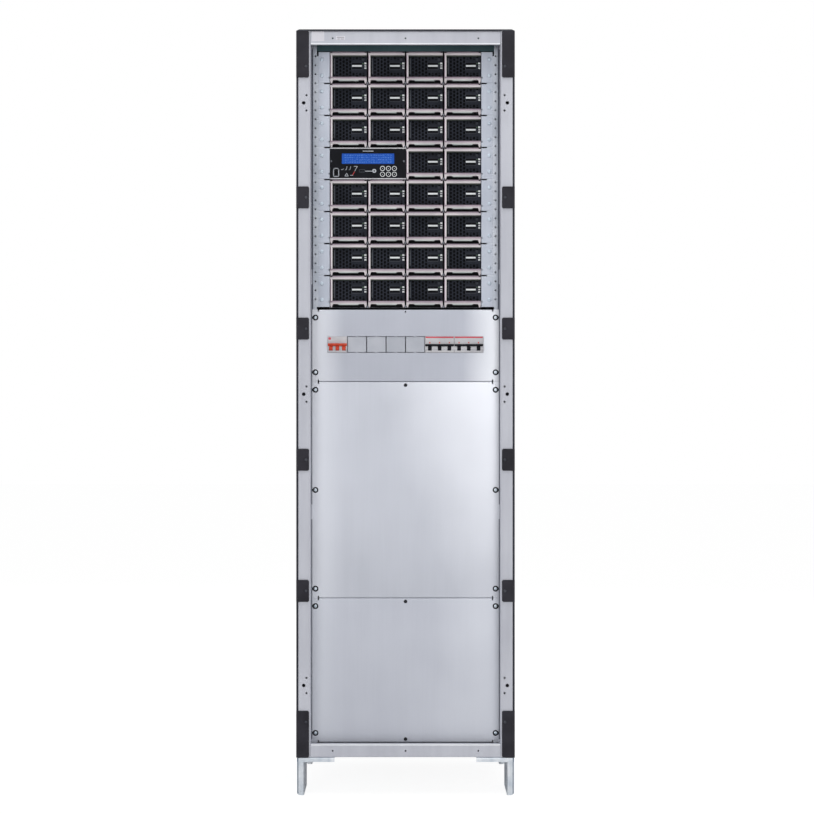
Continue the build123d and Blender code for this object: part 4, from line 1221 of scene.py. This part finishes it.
def add_housing(name, left, pole, striped):
    """The housing of one device, with cheeks between the hollows for the toggles."""
    low, high = left + pole_gap, left + 3 * pole - pole_gap
    nose = [(block_front, nose_high, 0), (block_front, block_high, 1.5)]
    nose += [(block_rear, block_high, 2), (block_rear, hook_high, 0)]
    nose += [(hook_front, hook_high, 0), (hook_front, hook_low, 0)]
    nose += [(block_rear, hook_low, 0), (block_rear, block_low, 2)]
    nose += [(block_front, block_low, 1.5), (block_front, nose_low, 0)]
    nose += [(nose_front, nose_low, 1.2), (nose_front, nose_high, 1.2)]
    housing = Shape().prism(rounded(nose), "x", low, high)
    hollows = Shape()
    middles = pole_middles(left, pole)
    bore = [(hollow_round, -hollow_half), (hollow_round, hollow_half)]
    for middle in middles:
        hollows.turned(bore, (middle, hub_y, hub_z), "x", 24)
    for seam in (left + pole, left + 2 * pole):
        corner = (seam + 0.2, mark_rear, block_high + 7)
        hollows.block((seam - 0.2, nose_front - 1, block_low - 8), corner)
    housing = cut(housing.mesh(housing_plastic), hollows.mesh())
    cheeks = Shape()
    edges = [x for middle in middles for x in (middle - hollow_half, middle + hollow_half)]
    edges = [low] + edges + [high]
    for start, end in zip(edges[::2], edges[1::2]):
        across, half = (start + end) / 2, (end - start) / 2
        disc = [(cheek_round, -half), (cheek_round, half)]
        cheeks.turned(disc, (across, hub_y, hub_z), "x", 24)
    marks = Shape()
    if striped:
        marks.block((low + 1.5, mark_front, 1258.4), (high - 1.5, mark_rear, 1262.4))
        for middle in middles:
            corner = (middle + 1.6, mark_rear, 1247.4)
            marks.block((middle - 1.6, mark_front, 1243.6), corner, 0.5, finish=1)
    else:
        marks.block((low + 2, mark_front, 1253.6), (low + 9, mark_rear, 1260.4), 1.2)
    for start in (low, high - 0.7):
        marks.block((start, mark_front, 1218.6), (start + 0.7, mark_rear, 1262.4), finish=2)
    marks.block((low, mark_front, 1218.4), (high, mark_rear, 1219.2), finish=2)
    marks = marks.mesh(stripe_red, red_plastic, seam_grey)
    mesh = smoothed(joined(housing, cheeks.mesh(housing_plastic), marks))
    piece(name + "_housing", mesh, stands_for=[name])


lever_tilt, hub_half, toggle_half, bar_inset = radians(138), 4.7, 2.25, 1
hub = [(7.3, -hub_half), (7.5, 0.3 - hub_half), (7.5, hub_half - 0.3), (7.3, hub_half)]


def lever_section(inner, reach, rounds):
    """The rounded outline of a lever's bar between two distances from its hub."""
    section = []
    corners = ((inner, -1), (reach, -1), (reach, 1), (inner, 1))
    for (out, turn), soft in zip(corners, rounds):
        side = turn * toggle_half
        y = hub_y + out * cos(lever_tilt) - side * sin(lever_tilt)
        z = hub_z + out * sin(lever_tilt) + side * cos(lever_tilt)
        section.append((y, z, soft))
    return rounded(section)


def add_lever(name, left, pole, reach, bar_height, finish):
    """The lever of one device: three toggles on their hub discs, tied by a bar."""
    lever = Shape()
    toggle = lever_section(3, reach, (0, 1.2, 1.2, 0))
    for middle in pole_middles(left, pole):
        lever.turned(hub, (middle, hub_y, hub_z), "x", 24)
        lever.prism(toggle, "x", middle - hub_half, middle + hub_half)
    bar = lever_section(reach - bar_height, reach, (1.3, 1.3, 1.3, 1.3))
    lever.prism(bar, "x", left + bar_inset, left + 3 * pole - bar_inset)
    node = name + "_lever"
    piece(node + "_bar", smoothed(lever.mesh(finish)), node, stands_for=[node])


for name, left, pole, striped, reach, bar_height, finish, slot in (
    ("main_switch", -216.0, 18.0, False, 17.0, 7.8, red_plastic, "red_plastic"),
    ("left_breaker", 54.0, 27.0, True, 14.0, 5.5, black_plastic, "black_plastic"),
    ("right_breaker", 135.0, 27.0, True, 14.0, 5.5, black_plastic, "black_plastic"),
):
    add_housing(name, left, pole, striped)
    add_lever(name, left, pole, reach, bar_height, finish)

cover_plastic = moulded("cover_plastic", tone(190, 193, 202), tone(174, 178, 188), 0.45)
cover_x, cover_z, cover_pitch, cover_half, cover_up = -135.0, 1240.5, 54.0, 25.8, 21.2
cover = Shape()
rings = []
for depth, inset in ((2, 0), (0.6, 0), (0, 0.7), (0, 2.0), (0.35, 2.4)):
    side, up = cover_half - inset, cover_up - inset
    corners = [(-side, -up, 1), (side, -up, 1), (side, up, 1), (-side, up, 1)]
    rings.append([(x, panel_front + depth, z) for x, z in rounded(corners)])
cover.skin(rings, "capped", 0)
for low in (-22.7, 20.7):
    cover.block((-3, panel_front + 0.5, low), (3, panel_front + 9.5, low + 2))
covers = rows_of.made(
    cover.mesh(),
    cover_plastic,
    {
        "Start": (cover_x, 0.0, cover_z),
        "Across": (cover_pitch, 0.0, 0.0),
        "Columns": 4,
        "Rows": 1,
    },
)
piece("snap_in_covers", smoothed(covers), stands_for=["blank_covers"])
for name in ("din_rail", "din_rail_brackets"):
    dressed(name + "_sheet", name, 0.3, galvanised)

# Studio: a pale floor, four soft boxes, an even white surround and a camera that
# stands square in front of the cabinet.

camera = bpy.data.objects.new("camera", bpy.data.cameras.new("camera"))
bpy.context.scene.collection.objects.link(camera)
camera.data.lens = 80.6
camera.data.sensor_width = 36.0
camera_distance, camera_height = 5.3, 1.067
camera.location = (0.0041, -camera_distance, camera_height)
camera.rotation_euler = (radians(90), 0, 0)
camera.data.clip_end = 60.0
bpy.context.scene.camera = camera


def soft_box(name, stand, aim, width, height, watts):
    """A soft box that stands at a place and points at another."""
    light = bpy.data.lights.new(name, "AREA")
    light.shape = "RECTANGLE"
    light.size, light.size_y = width, height
    light.energy = watts
    made = bpy.data.objects.new(name, light)
    made.location = stand
    made.rotation_euler = (Vector(aim) - Vector(stand)).to_track_quat("-Z", "Y").to_euler()
    bpy.context.scene.collection.objects.link(made)


soft_box("left_box", (-2.3, -4.9, 2.1), (0, 0, 1.0), 1.8, 2.4, 42)
soft_box("right_box", (1.5, -5.1, 1.6), (0, -0.2, 1.1), 1.4, 2.0, 38)
soft_box("top_box", (0, -1.5, 4.6), (0, 0, 0.9), 3.0, 2.0, 40)
soft_box("rear_box", (0.5, 4.2, 3.0), (0, 0, 1.1), 3.0, 2.0, 70)

floor_half = 20
floor_mesh = bpy.data.meshes.new("floor")
corners = [(x * floor_half, y * floor_half, 0) for x, y in ((-1, -1), (1, -1), (1, 1), (-1, 1))]
floor_mesh.from_pydata(corners, [], [(0, 1, 2, 3)])
floor = bpy.data.objects.new("floor", floor_mesh)
bpy.context.scene.collection.objects.link(floor)
floor_finish = Finish("floor", {"Roughness": 0.9, "Specular IOR Level": 0.1})
floor_finish.shader.inputs["Base Color"].default_value = (0.96, 0.96, 0.96, 1)
glow = floor_finish.node("ShaderNodeEmission", {}, {"Color": (1, 1, 1, 1), "Strength": 1.14})
sight = floor_finish.node("ShaderNodeLightPath", {}, {}, "Is Camera Ray")
base = Signal(floor_finish, floor_finish.shader.outputs[0])
inputs = {0: sight * 0.8, 1: base, 2: glow}
blended = floor_finish.node("ShaderNodeMixShader", {}, inputs)
output = floor_finish.tree.nodes["Material Output"]
floor_finish.tree.links.new(blended.socket, output.inputs["Surface"])
floor_mesh.materials.append(floor_finish.material)


class Surround(Tree):
    """The studio's even light, white where the camera or a reflection sees it."""

    def __init__(self, even_light):
        self.world = bpy.data.worlds.new("studio")
        self.world.use_nodes = True
        self.tree = self.world.node_tree
        camera_ray = self.node("ShaderNodeLightPath", {}, {}, "Is Camera Ray")
        glossy_ray = self.node("ShaderNodeLightPath", {}, {}, "Is Glossy Ray")
        seen = camera_ray.maths("MAXIMUM", camera_ray, glossy_ray)
        strength = even_light + seen * (1 - even_light)
        background = self.tree.nodes["Background"]
        background.inputs["Color"].default_value = (1, 1, 1, 1)
        self.tree.links.new(strength.socket, background.inputs["Strength"])


bpy.context.scene.world = Surround(0.4).world
bpy.context.scene.view_settings.view_transform = "Standard"
